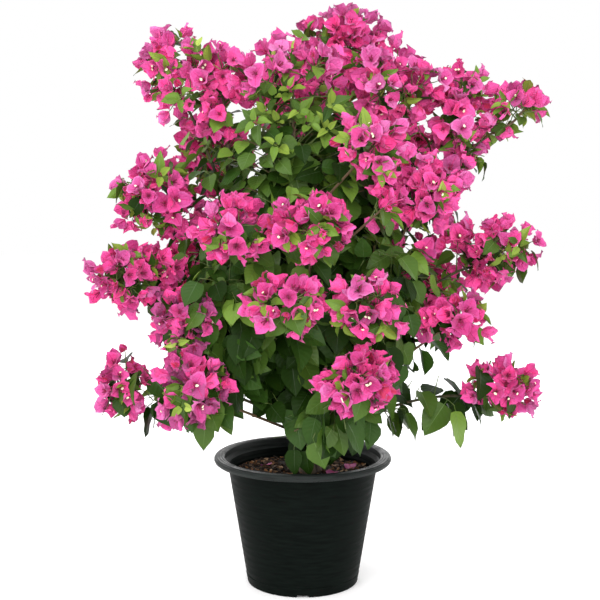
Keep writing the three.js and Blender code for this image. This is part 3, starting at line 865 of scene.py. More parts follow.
def mark_throat_and_margin(bm):
    for face in bm.faces:
        middle = face.calc_center_median()
        is_rib = abs(middle.x) < RIB_FACES["within"] and middle.y < RIB_FACES["up to"]
        is_inner = abs(middle.x) < THROAT_FACES["within"]
        if is_rib or (middle.y < THROAT_FACES["rows"] / BRACT["rows"] and is_inner):
            face.material_index = THROAT
        elif abs(middle.x) > THROAT_FACES["within"] or middle.y > 1 - 1 / BRACT["rows"]:
            face.material_index = MARGIN


def flare_of_bract(start, end, curl):
    """How far out and up each row stands, as the bract bends from one angle to another."""
    reach, rise = [0.0], [0.0]
    for row in range(BRACT["rows"]):
        share = (row + 0.5) / BRACT["rows"]
        angle = math.radians(start + (end - start) * share**0.8 + curl * share**4)
        reach.append(reach[-1] + math.sin(angle) * BRACT["length"] / BRACT["rows"])
        rise.append(rise[-1] + math.cos(angle) * BRACT["length"] / BRACT["rows"])
    return reach, rise


print("an open bract's tip is", round(flare_of_bract(20, 74, 4)[0][-1] / MM), "mm off its floret's axis")

# %% [markdown]
# Six variants are enough, because no two copies are turned alike. Their angles are in degrees from the
# floret's axis: where the bract starts and ends, and how much its tip curls. Cup is a share of the width,
# and ruffle is in millimetres.

# %% Model the bracts
# The angles of start and end, the cup, the ruffle and the curl of each variant.
BRACT_VARIANTS = [
    (20, 74, 0.16, 3.4, 4),
    (26, 62, 0.28, 4.4, 26),
    (14, 90, 0.04, 4.6, 34),
    (30, 52, 0.34, 3.8, -20),
    (22, 70, 0.10, 5.4, -30),
    (10, 60, 0.38, 4.0, 30),
]
BRACT_RUFFLE = {"waves": 2.1, "lag of one side": 2.2, "dents": 5.0, "dents across": 2.1, "dents along": 3.0}
BRACT_CREASE = {"depth": 2.0 * MM, "sharpness": 18}
LEAST_ROOT_WIDTH = 0.1
BRACT_PHASE = 1.9


def lift_of_bract(across, share, width, phase, cup, ruffle):
    """What a point of a bract stands up by: its cup, its ruffled edge, its dents and its creased rib."""
    edge = across * across
    lag = 0.0 if across > 0 else BRACT_RUFFLE["lag of one side"]
    wave = math.sin(FULL_TURN * BRACT_RUFFLE["waves"] * share + phase + lag)
    here = Vector((BRACT_RUFFLE["dents across"] * across, BRACT_RUFFLE["dents along"] * share, phase))
    dents = BRACT_RUFFLE["dents"] * noise.noise(here) * share
    lift = cup * width * edge + (ruffle * wave * edge * share**0.6 + dents) * MM
    crease = BRACT_CREASE["depth"] * math.exp(-BRACT_CREASE["sharpness"] * edge)
    return lift - crease * math.sin(math.pi * share)


def keep_bract_shape(name, phase, start, end, cup, ruffle, curl):
    """A bract that leaves the axis, which is +Z, and leans towards +Y."""
    rows = BRACT["rows"]
    bm = new_grid(7, rows)
    mark_throat_and_margin(bm)
    reach, rise = flare_of_bract(start, end, curl)
    for vert in bm.verts:
        column, row = round(vert.co.x * 3.5 + 3.5), round(vert.co.y * rows)
        share = row / rows
        least = LEAST_ROOT_WIDTH if row == 0 else 0.0
        width = BRACT["width"] / 2 * max(blade_width(share, BRACT["widest"], BRACT["pointed"]), least)
        rib = min(BRACT["rib"] / 2 / width, 0.3) * (1 - 0.6 * share) if width else 0.0
        across = (-1.0, -0.68, -0.36, -rib, rib, 0.36, 0.68, 1.0)[column]
        edge = across * across
        lift = lift_of_bract(across, share, width, phase, cup, ruffle)
        angle = math.radians(start + (end - start) * share)
        vert.co.x = across * width * (1 - 0.1 * edge)
        vert.co.y = reach[row] - lift * math.cos(angle)
        vert.co.z = rise[row] + lift * math.sin(angle)
    bmesh.ops.remove_doubles(bm, verts=bm.verts, dist=0.1 * MM)
    keep_shape(name, bm)


for index, variant in enumerate(BRACT_VARIANTS):
    keep_bract_shape(f"bract {index}", BRACT_PHASE * index, *variant)


# %% [markdown]
# The true flower is a tube about 19 mm long. An open one ends in a star 7 mm across, with five lobes that
# are cream, and a shut one ends in a slightly swollen tip. The star is a disc of ten faces whose rim is
# drawn in between the lobes. More faces would be lost at this size.

# %% Model the flower tubes
FLOWER = {"tube": 19 * MM, "root radius": 1.1 * MM, "mouth radius": 1.6 * MM, "star radius": 3.6 * MM}
STAR_POINTS = {"lobes": 5, "drawn in": 0.5, "lifted": 0.8 * MM}
SKIN, STAR = range(2)


def add_star(bm):
    """A cream star on the mouth of a tube. Its rim goes out at each lobe and in between them."""
    corners = 2 * STAR_POINTS["lobes"]
    lift = Matrix.Translation((0, 0, FLOWER["tube"]))
    radius = FLOWER["star radius"]
    star = bmesh.ops.create_circle(
        bm, cap_ends=True, cap_tris=True, segments=corners, radius=radius, matrix=lift, calc_uvs=True
    )["verts"]
    for vert in star:
        if vert.co.xy.length <= FLOWER["mouth radius"]:
            continue
        turn = round(math.atan2(vert.co.y, vert.co.x) / FULL_TURN * corners)
        if turn % 2:
            vert.co.xy *= STAR_POINTS["drawn in"]
        vert.co.z += STAR_POINTS["lifted"]
    for face in bm.faces:
        face.material_index = STAR if all(vert in star for vert in face.verts) else SKIN


def keep_flower_shape(name, is_open):
    bm = bmesh.new()
    length, root, mouth = FLOWER["tube"], FLOWER["root radius"], FLOWER["mouth radius"]
    lift = Matrix.Translation((0, 0, length / 2))
    bmesh.ops.create_cone(
        bm, cap_ends=True, segments=4, radius1=root, radius2=mouth, depth=length, matrix=lift, calc_uvs=True
    )
    if is_open:
        add_star(bm)
    keep_shape(name, bm)


keep_flower_shape("open flower", True)
keep_flower_shape("shut flower", False)

# %% [markdown]
# A leaf is heart-shaped: broad and rounded at its stalk, widest a third of the way along, and drawn out to
# a thin tip. The rounding of its base comes from pulling the lowest rows of the grid back at their edges.
# It folds along its rib, its edge ripples and its tip droops. Young leaves are narrower and more folded.

# %% Model the leaves
HEART = {"widest": 0.36, "pointed": 1.15}
LEAF = {"length": 80 * MM, "stalk": 11 * MM, "width": 57 * MM, "rib": 1.8 * MM, **HEART}
LEAF_LOBE = {"depth": 8 * MM, "fade": 5}
LEAF_RIPPLE = {"waves": 1.6, "lag of one side": 1.9}
LEAST_STALK_WIDTH = 0.8 * MM
BLADE_SHARES = (0.0, 0.1, 0.26, 0.45, 0.64, 0.83, 1.0)
# The fold, the droop, the height and the phase of the ripple, and the breadth of each variant.
LEAF_VARIANTS = [
    (0.20, 0.14, 2.4, 0.0, 1.0),
    (0.38, 0.22, 1.8, 1.7, 0.95),
    (0.10, 0.06, 3.2, 3.1, 1.05),
    (0.28, 0.32, 2.6, 4.6, 0.95),
]
YOUNG_LEAF_VARIANTS = [
    (0.65, 0.30, 2.6, 0.6, 0.66),
    (0.45, -0.10, 3.4, 2.4, 0.72),
]
LEAF_BLADE, LEAF_RIB = range(2)


def keep_leaf_shape(name, fold, droop, wave, phase, breadth):
    """A leaf from its stalk's root along +Y, with its upper face towards +Z and its tip drooping."""
    blade_length = LEAF["length"] - LEAF["stalk"]
    bm = new_grid(5, len(BLADE_SHARES))
    for face in bm.faces:
        face.material_index = LEAF_RIB if abs(face.calc_center_median().x) < 0.1 else LEAF_BLADE
    for vert in bm.verts:
        column, row = round(vert.co.x * 2.5 + 2.5), round(vert.co.y * len(BLADE_SHARES))
        blade = BLADE_SHARES[max(row - 1, 0)]
        width = breadth * LEAF["width"] / 2 * blade_width(blade, LEAF["widest"], LEAF["pointed"])
        width = max(width, LEAST_STALK_WIDTH if row < 2 else 0.0)
        rib = min(LEAF["rib"] / 2 / width, 0.3) * (1 - blade) if width else 0.0
        across = (-1.0, -0.5, -rib, rib, 0.5, 1.0)[column]
        edge = abs(across)
        lag = 0.0 if across > 0 else LEAF_RIPPLE["lag of one side"]
        ripple = wave * MM * math.sin(FULL_TURN * LEAF_RIPPLE["waves"] * blade + phase + lag)
        lobe = LEAF_LOBE["depth"] * edge**2 * (1 - blade) ** LEAF_LOBE["fade"] if row > 1 else 0.0
        reached = 0.0 if row == 0 else LEAF["stalk"] + blade * blade_length
        bend = droop * LEAF["length"] * (reached / LEAF["length"]) ** 2
        vert.co.x = across * width
        vert.co.y = reached - lobe - 0.4 * droop * bend
        vert.co.z = fold * width * edge + ripple * edge**2 * blade**0.5 - bend
    bmesh.ops.remove_doubles(bm, verts=bm.verts, dist=0.05 * MM)
    keep_shape(name, bm)


for kind, variants in (("leaf", LEAF_VARIANTS), ("young leaf", YOUNG_LEAF_VARIANTS)):
    for index, variant in enumerate(variants):
        keep_leaf_shape(f"{kind} {index}", *variant)


# %% [markdown]
# ## Finishes of the bracts
#
# A bract is papery: matt with a slight sheen, and crinkled between veins. The crinkles of a real one are
# about 2 mm apart, which wouldn't show from where the camera stands, so they are drawn 5 mm apart and deeper.
# Its pinks run from pale where it is old and bleached to magenta where it is young, and its margin is paler.
# Light goes through a real bract, and that light is painted: brighter pinks stand in for it on bracts in half
# light and in the shade.

# %% Finishes of the bracts
CRINKLES = {"pitch": 5 * MM, "depth": 3.5 * MM, "detail": 2.0}
PAPERY = {"Sheen Weight": 0.12, "Sheen Roughness": 0.5, "Specular IOR Level": 0.25}


def make_bract_finish(name, colour):
    bract = new_finish(name, colour, 0.66, PAPERY)
    give_relief(bract, grain(bract, CRINKLES["pitch"], detail=CRINKLES["detail"]), CRINKLES["depth"])
    return bract


ROSE = make_bract_finish("Papery bract, bright rose", "#c8458d")
PINK = make_bract_finish("Papery bract, clear pink", "#cc569a")
DEEP_ROSE = make_bract_finish("Papery bract, deep rose", "#c03b81")
BLEACHED = make_bract_finish("Papery bract, bleached pink", "#d46eab")
MAUVE = make_bract_finish("Papery bract, mauve pink", "#ae4882")
YOUNG_MAGENTA = make_bract_finish("Papery bract, young magenta", "#c62d5d")
DEEP_THROAT = make_bract_finish("Papery bract, magenta throat", "#bb2168")
# The next four pinks are painted light: brighter copies of the rose and pink for bracts in half light and in
# the shade, standing in for the light through them.
PAINTED_HALF_LIGHT_ROSE = make_bract_finish("Papery bract, painted light through it in half light, rose", "#dc4591")
PAINTED_HALF_LIGHT_PINK = make_bract_finish("Papery bract, painted light through it in half light, pink", "#e0549f")
PAINTED_GLOW_ROSE = make_bract_finish("Papery bract lit through, hot rose", "#f24b9b")
PAINTED_GLOW_PINK = make_bract_finish("Papery bract lit through, hot pink", "#f55aa7")
TUBE_SKIN = make_bract_finish("Downy flower tube, red magenta", "#8c1f4a")
STAR_CREAM = make_bract_finish("Flower star, cream", "#f3eccb")
# A look is the finish of the blade, of the throat and of the margin.
BRACT_LOOKS = [
    (ROSE, DEEP_THROAT, PINK),
    (PINK, DEEP_ROSE, BLEACHED),
    (DEEP_ROSE, DEEP_THROAT, ROSE),
    (BLEACHED, ROSE, BLEACHED),
    (MAUVE, DEEP_THROAT, MAUVE),
    (YOUNG_MAGENTA, DEEP_THROAT, DEEP_ROSE),
    (PAINTED_GLOW_ROSE, DEEP_THROAT, PAINTED_GLOW_ROSE),
    (PAINTED_GLOW_PINK, PAINTED_GLOW_ROSE, PAINTED_GLOW_PINK),
    (PAINTED_HALF_LIGHT_ROSE, DEEP_THROAT, PAINTED_HALF_LIGHT_PINK),
    (PAINTED_HALF_LIGHT_PINK, PAINTED_HALF_LIGHT_ROSE, PAINTED_HALF_LIGHT_PINK),
]
MAUVE_LOOK = 4
# The looks with painted light that take the place of the first four in the shade and in half light.
PAINTED_GLOW_LOOKS = {0: 6, 1: 7, 2: 6, 3: 7}
PAINTED_HALF_LIGHT_LOOKS = {0: 8, 1: 9, 2: 8, 3: 9}
print(len(BRACT_LOOKS), "looks of bracts")

# %% [markdown]
# ## Finishes of the leaves
#
# A leaf is waxy above and a little glossy, and goes from lime at the tips to dark green inside the crown,
# where the darkest greens are painted shade.
# Its rib is paler, with faces of its own. The side veins branch off the rib towards the tip, about 9 mm
# apart on the largest leaves, and only dent the surface, so they are a relief that is drawn from the
# piece's own map.

# %% Finishes of the leaves
VEINS = {"pitch": 0.06, "slant": 0.5, "depth": 0.3 * MM}  # in shares of the leaf's length


def make_leaf_finish(name, colour, roughness=0.44, shine=0.2):
    """A leaf with side veins. A Math node's inputs all have one name, so they go by number."""
    leaf = new_finish(name, colour, roughness, {"Specular IOR Level": shine})
    uv = add_node(leaf, "ShaderNodeUVMap", {"uv_map": "across_and_along"})
    across, along, _ = add_node(leaf, "ShaderNodeSeparateXYZ", None, {0: uv.outputs[0]}).outputs
    off_rib = add_node(leaf, "ShaderNodeMath", {"operation": "PINGPONG", 1: 0.5}, {0: across}).outputs[0]
    slant = {"operation": "MULTIPLY_ADD", 1: VEINS["slant"]}
    climb = add_node(leaf, "ShaderNodeMath", slant, {0: off_rib, 2: along}).outputs[0]
    repeat = {"operation": "PINGPONG", 1: VEINS["pitch"]}
    veins = add_node(leaf, "ShaderNodeMath", repeat, {0: climb}).outputs[0]
    to_one = {"operation": "MULTIPLY", 1: 1 / VEINS["pitch"]}
    give_relief(leaf, add_node(leaf, "ShaderNodeMath", to_one, {0: veins}).outputs[0], VEINS["depth"])
    return leaf


PAINTED_SHADE_RIB = make_cane("Leaf rib, dark green with painted shade", "#233a12", 0.5)
GREEN_RIB = make_cane("Leaf rib, mid green", "#33521d", 0.5)
PALE_RIB = make_cane("Leaf rib, pale green", "#53722d", 0.5)
LEAF_LOOKS = [
    (make_leaf_finish("Waxy leaf, mid green", "#425d1f"), PALE_RIB),
    (make_leaf_finish("Waxy leaf, dark green", "#2c4815", shine=0.14), GREEN_RIB),
    # This darkest green is painted shade for the leaves deep in the crown.
    (make_leaf_finish("Waxy leaf, dark green with painted deep shade", "#1a2f09", shine=0.08), PAINTED_SHADE_RIB),
    (make_leaf_finish("Waxy leaf, fresh green", "#64822f"), PALE_RIB),
    (make_leaf_finish("Soft leaf, yellow green", "#7d9438", 0.5), PALE_RIB),
    (make_leaf_finish("Soft leaf, pale lime", "#a3b754", 0.5), PALE_RIB),
]
print(len(LEAF_LOOKS), "looks of leaves")

# %% [markdown]
# ## The growth rule
#
# Each mass has a stem that goes to its middle. Twigs leave it for places spread round the mass by the
# golden angle, and the same rule is carried on at each twig's end, where finer shoots end in florets or
# carry hanging leaves.

# %% Rays and turns
def spiral_of_rays(count, axis, first_turn, depth):
    """Rays spread evenly by the golden angle, from ahead of an axis to what depth reaches behind it."""
    turn = UP.rotation_difference(axis)
    for i in range(count):
        height = 1 - depth * (i + 0.5) / count
        ring = math.sqrt(max(1 - height * height, 0))
        angle = GOLDEN_ANGLE * i + first_turn
        yield turn @ Vector((ring * math.cos(angle), ring * math.sin(angle), height))


def turned(direction, facing):
    """The turn that lays +Y along a direction and +Z as near to a facing as it can be."""
    along = direction.normalized()
    side = along.cross(facing)
    if side.length < 1e-3:
        side = along.cross(Vector((1, 0, 0)))
    side.normalize()
    return Matrix((side, along, side.cross(along))).transposed()


def arched(root, end, lift):
    """A twig's curve, lifted in the middle by a share of its length."""
    middle = (root + end) / 2 + UP * lift * (end - root).length
    return Curve(root, middle, end, fineness=8)


print("an arched twig over 1 m is", round(arched(Vector(), Vector((1, 0, 0)), 0.1).length, 3), "m long")

# %% [markdown]
# A copy that would leave its mass's space, or crowd a neighbour, is skipped, which leaves the gaps that a
# real crown has. The places taken are sorted into cells as wide as the least distance, so that only the
# cells around a place need a look. A smooth noise makes the edge of each mass go in and out.

# %% Room for a copy
RAGGED = {"share": 0.8, "pitch": 70 * MM}


class Spacing:
    """Keeps places at least a distance apart."""

    def __init__(self, least):
        self.least = least
        self.cells = {}

    def take(self, point):
        cell = tuple(math.floor(c / self.least) for c in point)
        for steps in itertools.product((-1, 0, 1), repeat=3):
            key = tuple(c + step for c, step in zip(cell, steps))
            if any((other - point).length < self.least for other in self.cells.get(key, ())):
                return False
        self.cells.setdefault(cell, []).append(point.copy())
        return True


def is_in_reach(point, margin):
    """True if a point stays in the box of the solids, less a margin."""
    low, high = CAD_BOX
    return all(low[k] + margin <= point[k] <= high[k] - margin for k in range(3))


def is_within(each, point, margin):
    """True if a point is in the rounded, ragged space of a mass, less a margin."""
    off = point - each["at"]
    filled = sum((off[k] / (each["half"][k] - margin)) ** 2 for k in range(3))
    return filled <= 1 + RAGGED["share"] * noise.noise(point / RAGGED["pitch"])


def pick(random, weights):
    """An index drawn by weight."""
    drawn = random() * sum(weights)
    for index, weight in enumerate(weights):
        drawn -= weight
        if drawn <= 0:
            return index
    return len(weights) - 1


draws = seeded_random(1)
print("twelve draws by weights 3 and 1:", [pick(draws, (3, 1)) for _ in range(12)])

# %% [markdown]
# ## Florets
#
# A floret turns its three bracts at even angles round its axis, and its tubes between them. An open floret
# lays its bracts wide, and a young one holds them shut. Most bracts of a floret have one look, and one in
# five is drawn anew, because no two age alike.

# %% Florets
CANES = [(BROWN_CANE,), (GREEN_CANE,), (PALE_CANE,)]
BROWN, GREEN, PALE = range(3)
twigs = Spray()
flowers = Spray()
floret_spacing = Spacing(19 * MM)
# The radius at the root and at the tip, the number of sides and the steps of each kind of twig.
TWIGS = {
    "mass stem": (3.4 * MM, 2.4 * MM, 6, 8),
    "blossom twig": (1.9 * MM, 1.3 * MM, 5, 4),
    "leaf twig": (2.2 * MM, 1.4 * MM, 4, 4),
    "window shoot": (1.6 * MM, 1.0 * MM, 4, 4),
    "side shoot": (1.5 * MM, 1.0 * MM, 4, 3),
    "head shoot": (1.5 * MM, 1.1 * MM, 3, 2),
    "leaf shoot": (1.3 * MM, 0.9 * MM, 3, 3),
    "sprig": (1.0 * MM, 0.7 * MM, 3, 3),
    "pedicel": (1.1 * MM, 0.9 * MM, 3, 1),
}
PEDICEL_LENGTH = 9 * MM
FLORET = {"roll": 0.25, "lean": 0.15, "shut lean": 0.75, "one look": 0.8, "tubes shown from": 0.5}
TUBE_LEAN = (-0.26, -0.14)
OPEN_TUBE_WEIGHTS = (66, 28, 6)  # for none, one and two open tubes


def add_floret(spray, root, axis, random, weights, size, openness):
    """Three bracts round three flower tubes, on a pedicel from its root along the axis."""
    axis = axis.normalized()
    start = root + axis * PEDICEL_LENGTH * size
    add_tube(twigs, Curve(root, start, fineness=1), *TWIGS["pedicel"], GREEN)
    upright = UP.rotation_difference(axis).to_matrix()
    first_turn = random() * FULL_TURN
    look = pick(random, weights)
    for k in range(3):
        off = between(random, -FLORET["roll"], FLORET["roll"])
        roll = Matrix.Rotation(first_turn + FULL_TURN * k / 3 + off, 3, "Z")
        off = between(random, -FLORET["lean"], FLORET["lean"])
        lean = Matrix.Rotation((1 - openness) * FLORET["shut lean"] + off, 3, "X")
        growth = size * between(random, 0.9, 1.1)
        chosen = look if random() < FLORET["one look"] else pick(random, weights)
        shape = f"bract {int(random() * len(BRACT_VARIANTS))}"
        spray.add(shape, upright @ roll @ lean * growth, start, chosen)
    if openness < FLORET["tubes shown from"]:
        return
    opened = pick(random, OPEN_TUBE_WEIGHTS)
    for k in range(3):
        roll = Matrix.Rotation(first_turn + FULL_TURN * (k + 0.5) / 3, 3, "Z")
        lean = Matrix.Rotation(between(random, *TUBE_LEAN), 3, "X")
        shape = "open flower" if k < opened else "shut flower"
        flowers.add(shape, upright @ roll @ lean * size, start + axis * 1.5 * MM)


print("a floret at full size is about", round(2 * flare_of_bract(20, 74, 4)[0][-1] / MM), "mm across")

# %% [markdown]
# ## Leaves
#
# A leaf hangs from its stalk and turns its upper face outwards to the light. It mustn't point at the
# viewer, or the crown would show only the thin edges of its leaves. The foot of the plant is open at both
# sides, and leaves hang over the pot only in the middle.

# %% Add a leaf
OPEN_FOOT = {"at": 24 * MM, "half width": 48 * MM}
LOWEST_TIP = {"middle": 272 * MM, "sides": 395 * MM, "beyond the pot": 335 * MM}
REACH_OF_LEAVES = {"root": 8 * MM, "tip": -4 * MM, "past the lip": 15 * MM}
LEAF_SHARE_THAT_HANGS = 0.95
LEAF_ROLL = 0.35


def may_hang(root, tip):
    """True if a leaf stays in reach and leaves the foot of the plant open at its sides."""
    part = "middle" if abs(tip.x - OPEN_FOOT["at"]) < OPEN_FOOT["half width"] else "sides"
    if tip.xy.length > POT["lip radius"] + REACH_OF_LEAVES["past the lip"]:
        part = "beyond the pot"
    in_reach = is_in_reach(root, REACH_OF_LEAVES["root"]) and is_in_reach(tip, REACH_OF_LEAVES["tip"])
    return tip.z > LOWEST_TIP[part] and in_reach


def add_leaf(spray, root, direction, facing, random, weights, size, kind="leaf"):
    """A leaf that leaves its shoot in a direction and turns its upper face to a facing."""
    tip = root + direction.normalized() * LEAF["length"] * LEAF_SHARE_THAT_HANGS * size
    if not may_hang(root, tip):
        return
    turn = turned(direction, facing) @ Matrix.Rotation(between(random, -LEAF_ROLL, LEAF_ROLL), 3, "Y")
    variants = YOUNG_LEAF_VARIANTS if kind == "young leaf" else LEAF_VARIANTS
    shape = f"{kind} {int(random() * len(variants))}"
    spray.add(shape, turn * size, root, pick(random, weights))


print("a leaf may hang before the pot:", may_hang(Vector((0, -0.2, 0.36)), Vector((0, -0.2, 0.3))))

# %% [markdown]
# Old leaves low down are large, and the young ones at the top are about half their size and stand up more.
# Along a shoot they leave on alternate sides, with one at the tip, and near the outside they turn further
# to the side.

# %% Leaves along a shoot
leaf_spacing = Spacing(17 * MM)
YOUNGER = {"from": 0.5, "over": 0.6, "smaller by": 0.42, "less drooping by": 0.55}  # heights in metres
HANG = {"down": 0.8, "along": 0.5, "aside": 0.9, "stray": 1.0, "out of view": 0.7}
FACING = {"up": 0.7, "stray": 0.8, "aside": 0.2, "aside far out": 1.6}
FAR_OUT = 230 * MM


def climbed(point):
    """How far up the crown a place is, from 0 low down to 1 at the top."""
    return min(max((point.z - YOUNGER["from"]) / YOUNGER["over"], 0), 1)


def size_at(point, random):
    """The size of a leaf at a place: old and large low down, young and small at the top."""
    return between(random, 0.8, 1.1) - YOUNGER["smaller by"] * climbed(point)


def add_leaves_along(spray, shoot, ray, random, weights, growth, first, pitch):
    """Hanging leaves on alternate sides of a shoot from a first share of it on, and one at its tip."""
    before = spray.count()
    number = max(1, round(shoot.length * (1 - first) / pitch))
    for i in range(number):
        share = first + (1 - first) * (i + 1) / number
        root = shoot.at(share)
        if not leaf_spacing.take(root):
            continue
        along = shoot.along(share)
        side = along.cross(UP)
        side = side.normalized() if side.length > 1e-3 else random_vector(random).normalized()
        swing = 0.0 if i == number - 1 else (1.0 if i % 2 else -1.0)
        outward = (root - TRUNK_CURVE.at(0.5)) * Vector((1, 1, 0.3))
        aside = side * swing * FACING["aside far out" if outward.xy.length > FAR_OUT else "aside"]
        stray = random_vector(random) * FACING["stray"]
        facing = (ray + outward.normalized() + aside + UP * FACING["up"] + stray).normalized()
        hang = HANG["down"] - YOUNGER["less drooping by"] * climbed(root)
        stray = random_vector(random) * HANG["stray"]
        direction = along * HANG["along"] + side * HANG["aside"] * swing - UP * hang + stray
        direction -= facing * direction.dot(facing) * HANG["out of view"]
        add_leaf(spray, root, direction, facing, random, weights, growth * size_at(root, random))
    return spray.count() - before


print("an old leaf has", round(size_at(Vector(), lambda: 0.5), 2), "of the full size")

# %% [markdown]
# The greens are dealt out by place. Leaves inside the crown and low down get darker greens, painted shade for
# the light they lose, and the youngest, at the tips and in the sprigs, are pale. The weights of each place
# are for mid, dark, painted deep shade, fresh, yellow green and lime leaves.

# %% Greens by place
# Inside the crown and low down, the darker greens are painted shade.
DEEP_PAINTED_SHADE_WEIGHTS = (2, 3, 7, 0, 0, 0)
LOW_PAINTED_SHADE_WEIGHTS = (3.5, 3, 5, 0.2, 0, 0)
OUTER_WEIGHTS = (5, 4, 1, 2, 0, 0)
TOP_WEIGHTS = (5, 4, 1, 2.2, 0.5, 0)
HIGH_LEAF_WEIGHTS = (5, 3, 1, 3, 0.7, 0)
LOW_LEAF_WEIGHTS = (5, 4, 0.7, 0.6, 0, 0)
SKIRT_WEIGHTS = (5, 4, 0.5, 0.6, 0, 0)
FRESH_WEIGHTS = (3, 0.5, 0, 6, 2.5, 0)
TIP_WEIGHTS = (0, 0, 0, 4, 5, 1.2)
OUTER_REACH = 170 * MM
LOW_HEIGHT = 640 * MM
TOP_HEIGHT = 900 * MM


def leaf_weights(point):
    """The greens of a place: darker inside the crown and low down, as painted shade."""
    if point.z > TOP_HEIGHT:
        return TOP_WEIGHTS
    if (point.xy - TRUNK_FOOT.xy).length < OUTER_REACH:
        return DEEP_PAINTED_SHADE_WEIGHTS
    return LOW_PAINTED_SHADE_WEIGHTS if point.z < LOW_HEIGHT else OUTER_WEIGHTS


print("greens of a place in the heart of the crown:", leaf_weights(Vector((0, 0, 0.7))))

# %% [markdown]
# ## Sprigs of young leaves
#
# Soft shoots of young leaves poke out between the bracts. Their leaves sit a golden angle apart round the
# shoot, and the nearer the tip, the smaller and paler they are.

# %% Sprigs
young_leaves = Spray()
SPRIG = {"length": 44 * MM, "leaves": 5, "run": 0.6, "larger each": 0.07}


def add_sprig(twig, ray, random, is_kept):
    root = twig.at(between(random, 0.5, 0.95))
    sprig = arched(root, root + ray * SPRIG["length"] * between(random, 0.7, 1.2), 0.15)
    if not (is_kept(sprig.at(1)) and leaf_spacing.take(sprig.at(1))):
        return
    side = sprig.along(0.5).orthogonal().normalized()
    first_turn = random() * FULL_TURN
    for i in range(SPRIG["leaves"]):
        share = 1 - SPRIG["run"] * i / SPRIG["leaves"]
        along = sprig.along(share)
        direction = along * 0.45 + Matrix.Rotation(GOLDEN_ANGLE * i + first_turn, 3, along) @ side
        size = between(random, 0.3, 0.42) + SPRIG["larger each"] * i
        weights = TIP_WEIGHTS if i < 2 else FRESH_WEIGHTS
        facing = along + UP * 0.6 + random_vector(random) * 0.6
        add_leaf(young_leaves, sprig.at(share), direction, facing, random, weights, size, "young leaf")
    add_tube(twigs, sprig, *TWIGS["sprig"], PALE)


print("a sprig has", SPRIG["leaves"], "leaves")

# %% [markdown]
# ## Heads of blossom
#
# The florets sit in loose, dense heads at the ends of twigs: short shoots leave the last half of the twig
# and face outwards, the first ones ahead and the last ones sideways and down. Most florets of a head have
# one mood of colours, about one in eight is young and half shut, and sprigs stand out between them. The
# weights are for the first six looks: rose, pink, deep rose, bleached, mauve and young magenta.

# %% Heads of blossom
LOOKS_BY_MOOD = {
    "bright": (6, 3, 3, 0.8, 0.2, 0.1),
    "pale": (3, 5, 1, 2.2, 0.2, 0),
    "deep": (3, 0.8, 5, 0.3, 0.6, 0.4),
    "mauve": (1.5, 1, 1, 0.8, 6, 0.1),
    "young": (0.5, 0, 2, 0, 0, 4),
}
HEAD = {"shoots": 13, "shoot": 26 * MM, "depth": 1.5, "run": 0.55, "lifted": 0.25}
HEAD_STRAY = {"shoot": 0.7, "axis": 0.9, "sprig": 0.5}
YOUNG_FLORET = {"share": 0.12, "size": (0.45, 0.7), "openness": 0.2}
OPEN_FLORET = {"size": (0.82, 1.08), "openness": (0.55, 1.1)}
MIDDLE_OF_FLORET = 20 * MM
SPRIGS = {"in a head": 1.3, "more at the top": 1.4, "depth": 1.5}


def add_head(bracts, twig, ray, random, mood, shoots, is_kept):
    """Florets round the last part of a twig. A floret is left out where is_kept says no to its middle."""
    dome = (ray + UP * HEAD["lifted"]).normalized()
    for i, shoot_ray in enumerate(spiral_of_rays(shoots, dome, random() * FULL_TURN, HEAD["depth"])):
        root = twig.at(1 - HEAD["run"] * i / shoots)
        way = (shoot_ray + random_vector(random) * HEAD_STRAY["shoot"]).normalized()
        end = root + way * HEAD["shoot"] * between(random, 0.45, 1.5)
        axis = (way + dome * 0.2 + random_vector(random) * HEAD_STRAY["axis"]).normalized()
        floret_middle = end + axis * MIDDLE_OF_FLORET
        if not (is_kept(floret_middle) and floret_spacing.take(floret_middle)):
            continue
        add_tube(twigs, arched(root, end, 0.08), *TWIGS["head shoot"], GREEN)
        is_young = random() < YOUNG_FLORET["share"]
        size = between(random, *(YOUNG_FLORET if is_young else OPEN_FLORET)["size"])
        openness = YOUNG_FLORET["openness"] if is_young else between(random, *OPEN_FLORET["openness"])
        add_floret(bracts, end, axis, random, LOOKS_BY_MOOD["young" if is_young else mood], size, openness)
    more = SPRIGS["more at the top"] if twig.at(1).z > TOP_HEIGHT else 1.0
    sprigs = math.floor(SPRIGS["in a head"] * more + random())
    for sprig_ray in spiral_of_rays(sprigs, ray, random() * FULL_TURN, SPRIGS["depth"]):
        way = (sprig_ray + random_vector(random) * HEAD_STRAY["sprig"]).normalized()
        add_sprig(twig, way, random, is_kept)


print("a head has up to", HEAD["shoots"], "florets, with the moods", ", ".join(LOOKS_BY_MOOD))

# %% [markdown]
# ## Stems and twigs of the masses
#
# A mass's own stem starts at its bough's tip, at its limb's tip or on the side of its limb, and bends once
# on its way past the middle of the mass. Its twigs reach for places spread round the mass, and leave the
# stem one after another, the first near its tip.

# %% Mass stems and twigs
def mass_stem(each):
    carrier = LIMBS["bough_" + each["name"] if each["bough"] else each["on"]]["curve"]
    is_end = each["bough"] or each["leaves"] == 1
    start = carrier.at(1 if is_end else each["leaves"])
    direction = carrier.along(1) if is_end else (each["at"] - start).normalized()
    end = each["at"] + direction * 0.25 * min(each["half"])
    bend = start + direction * 0.5 * (each["at"] - start).length
    return Curve(start, bend, end)


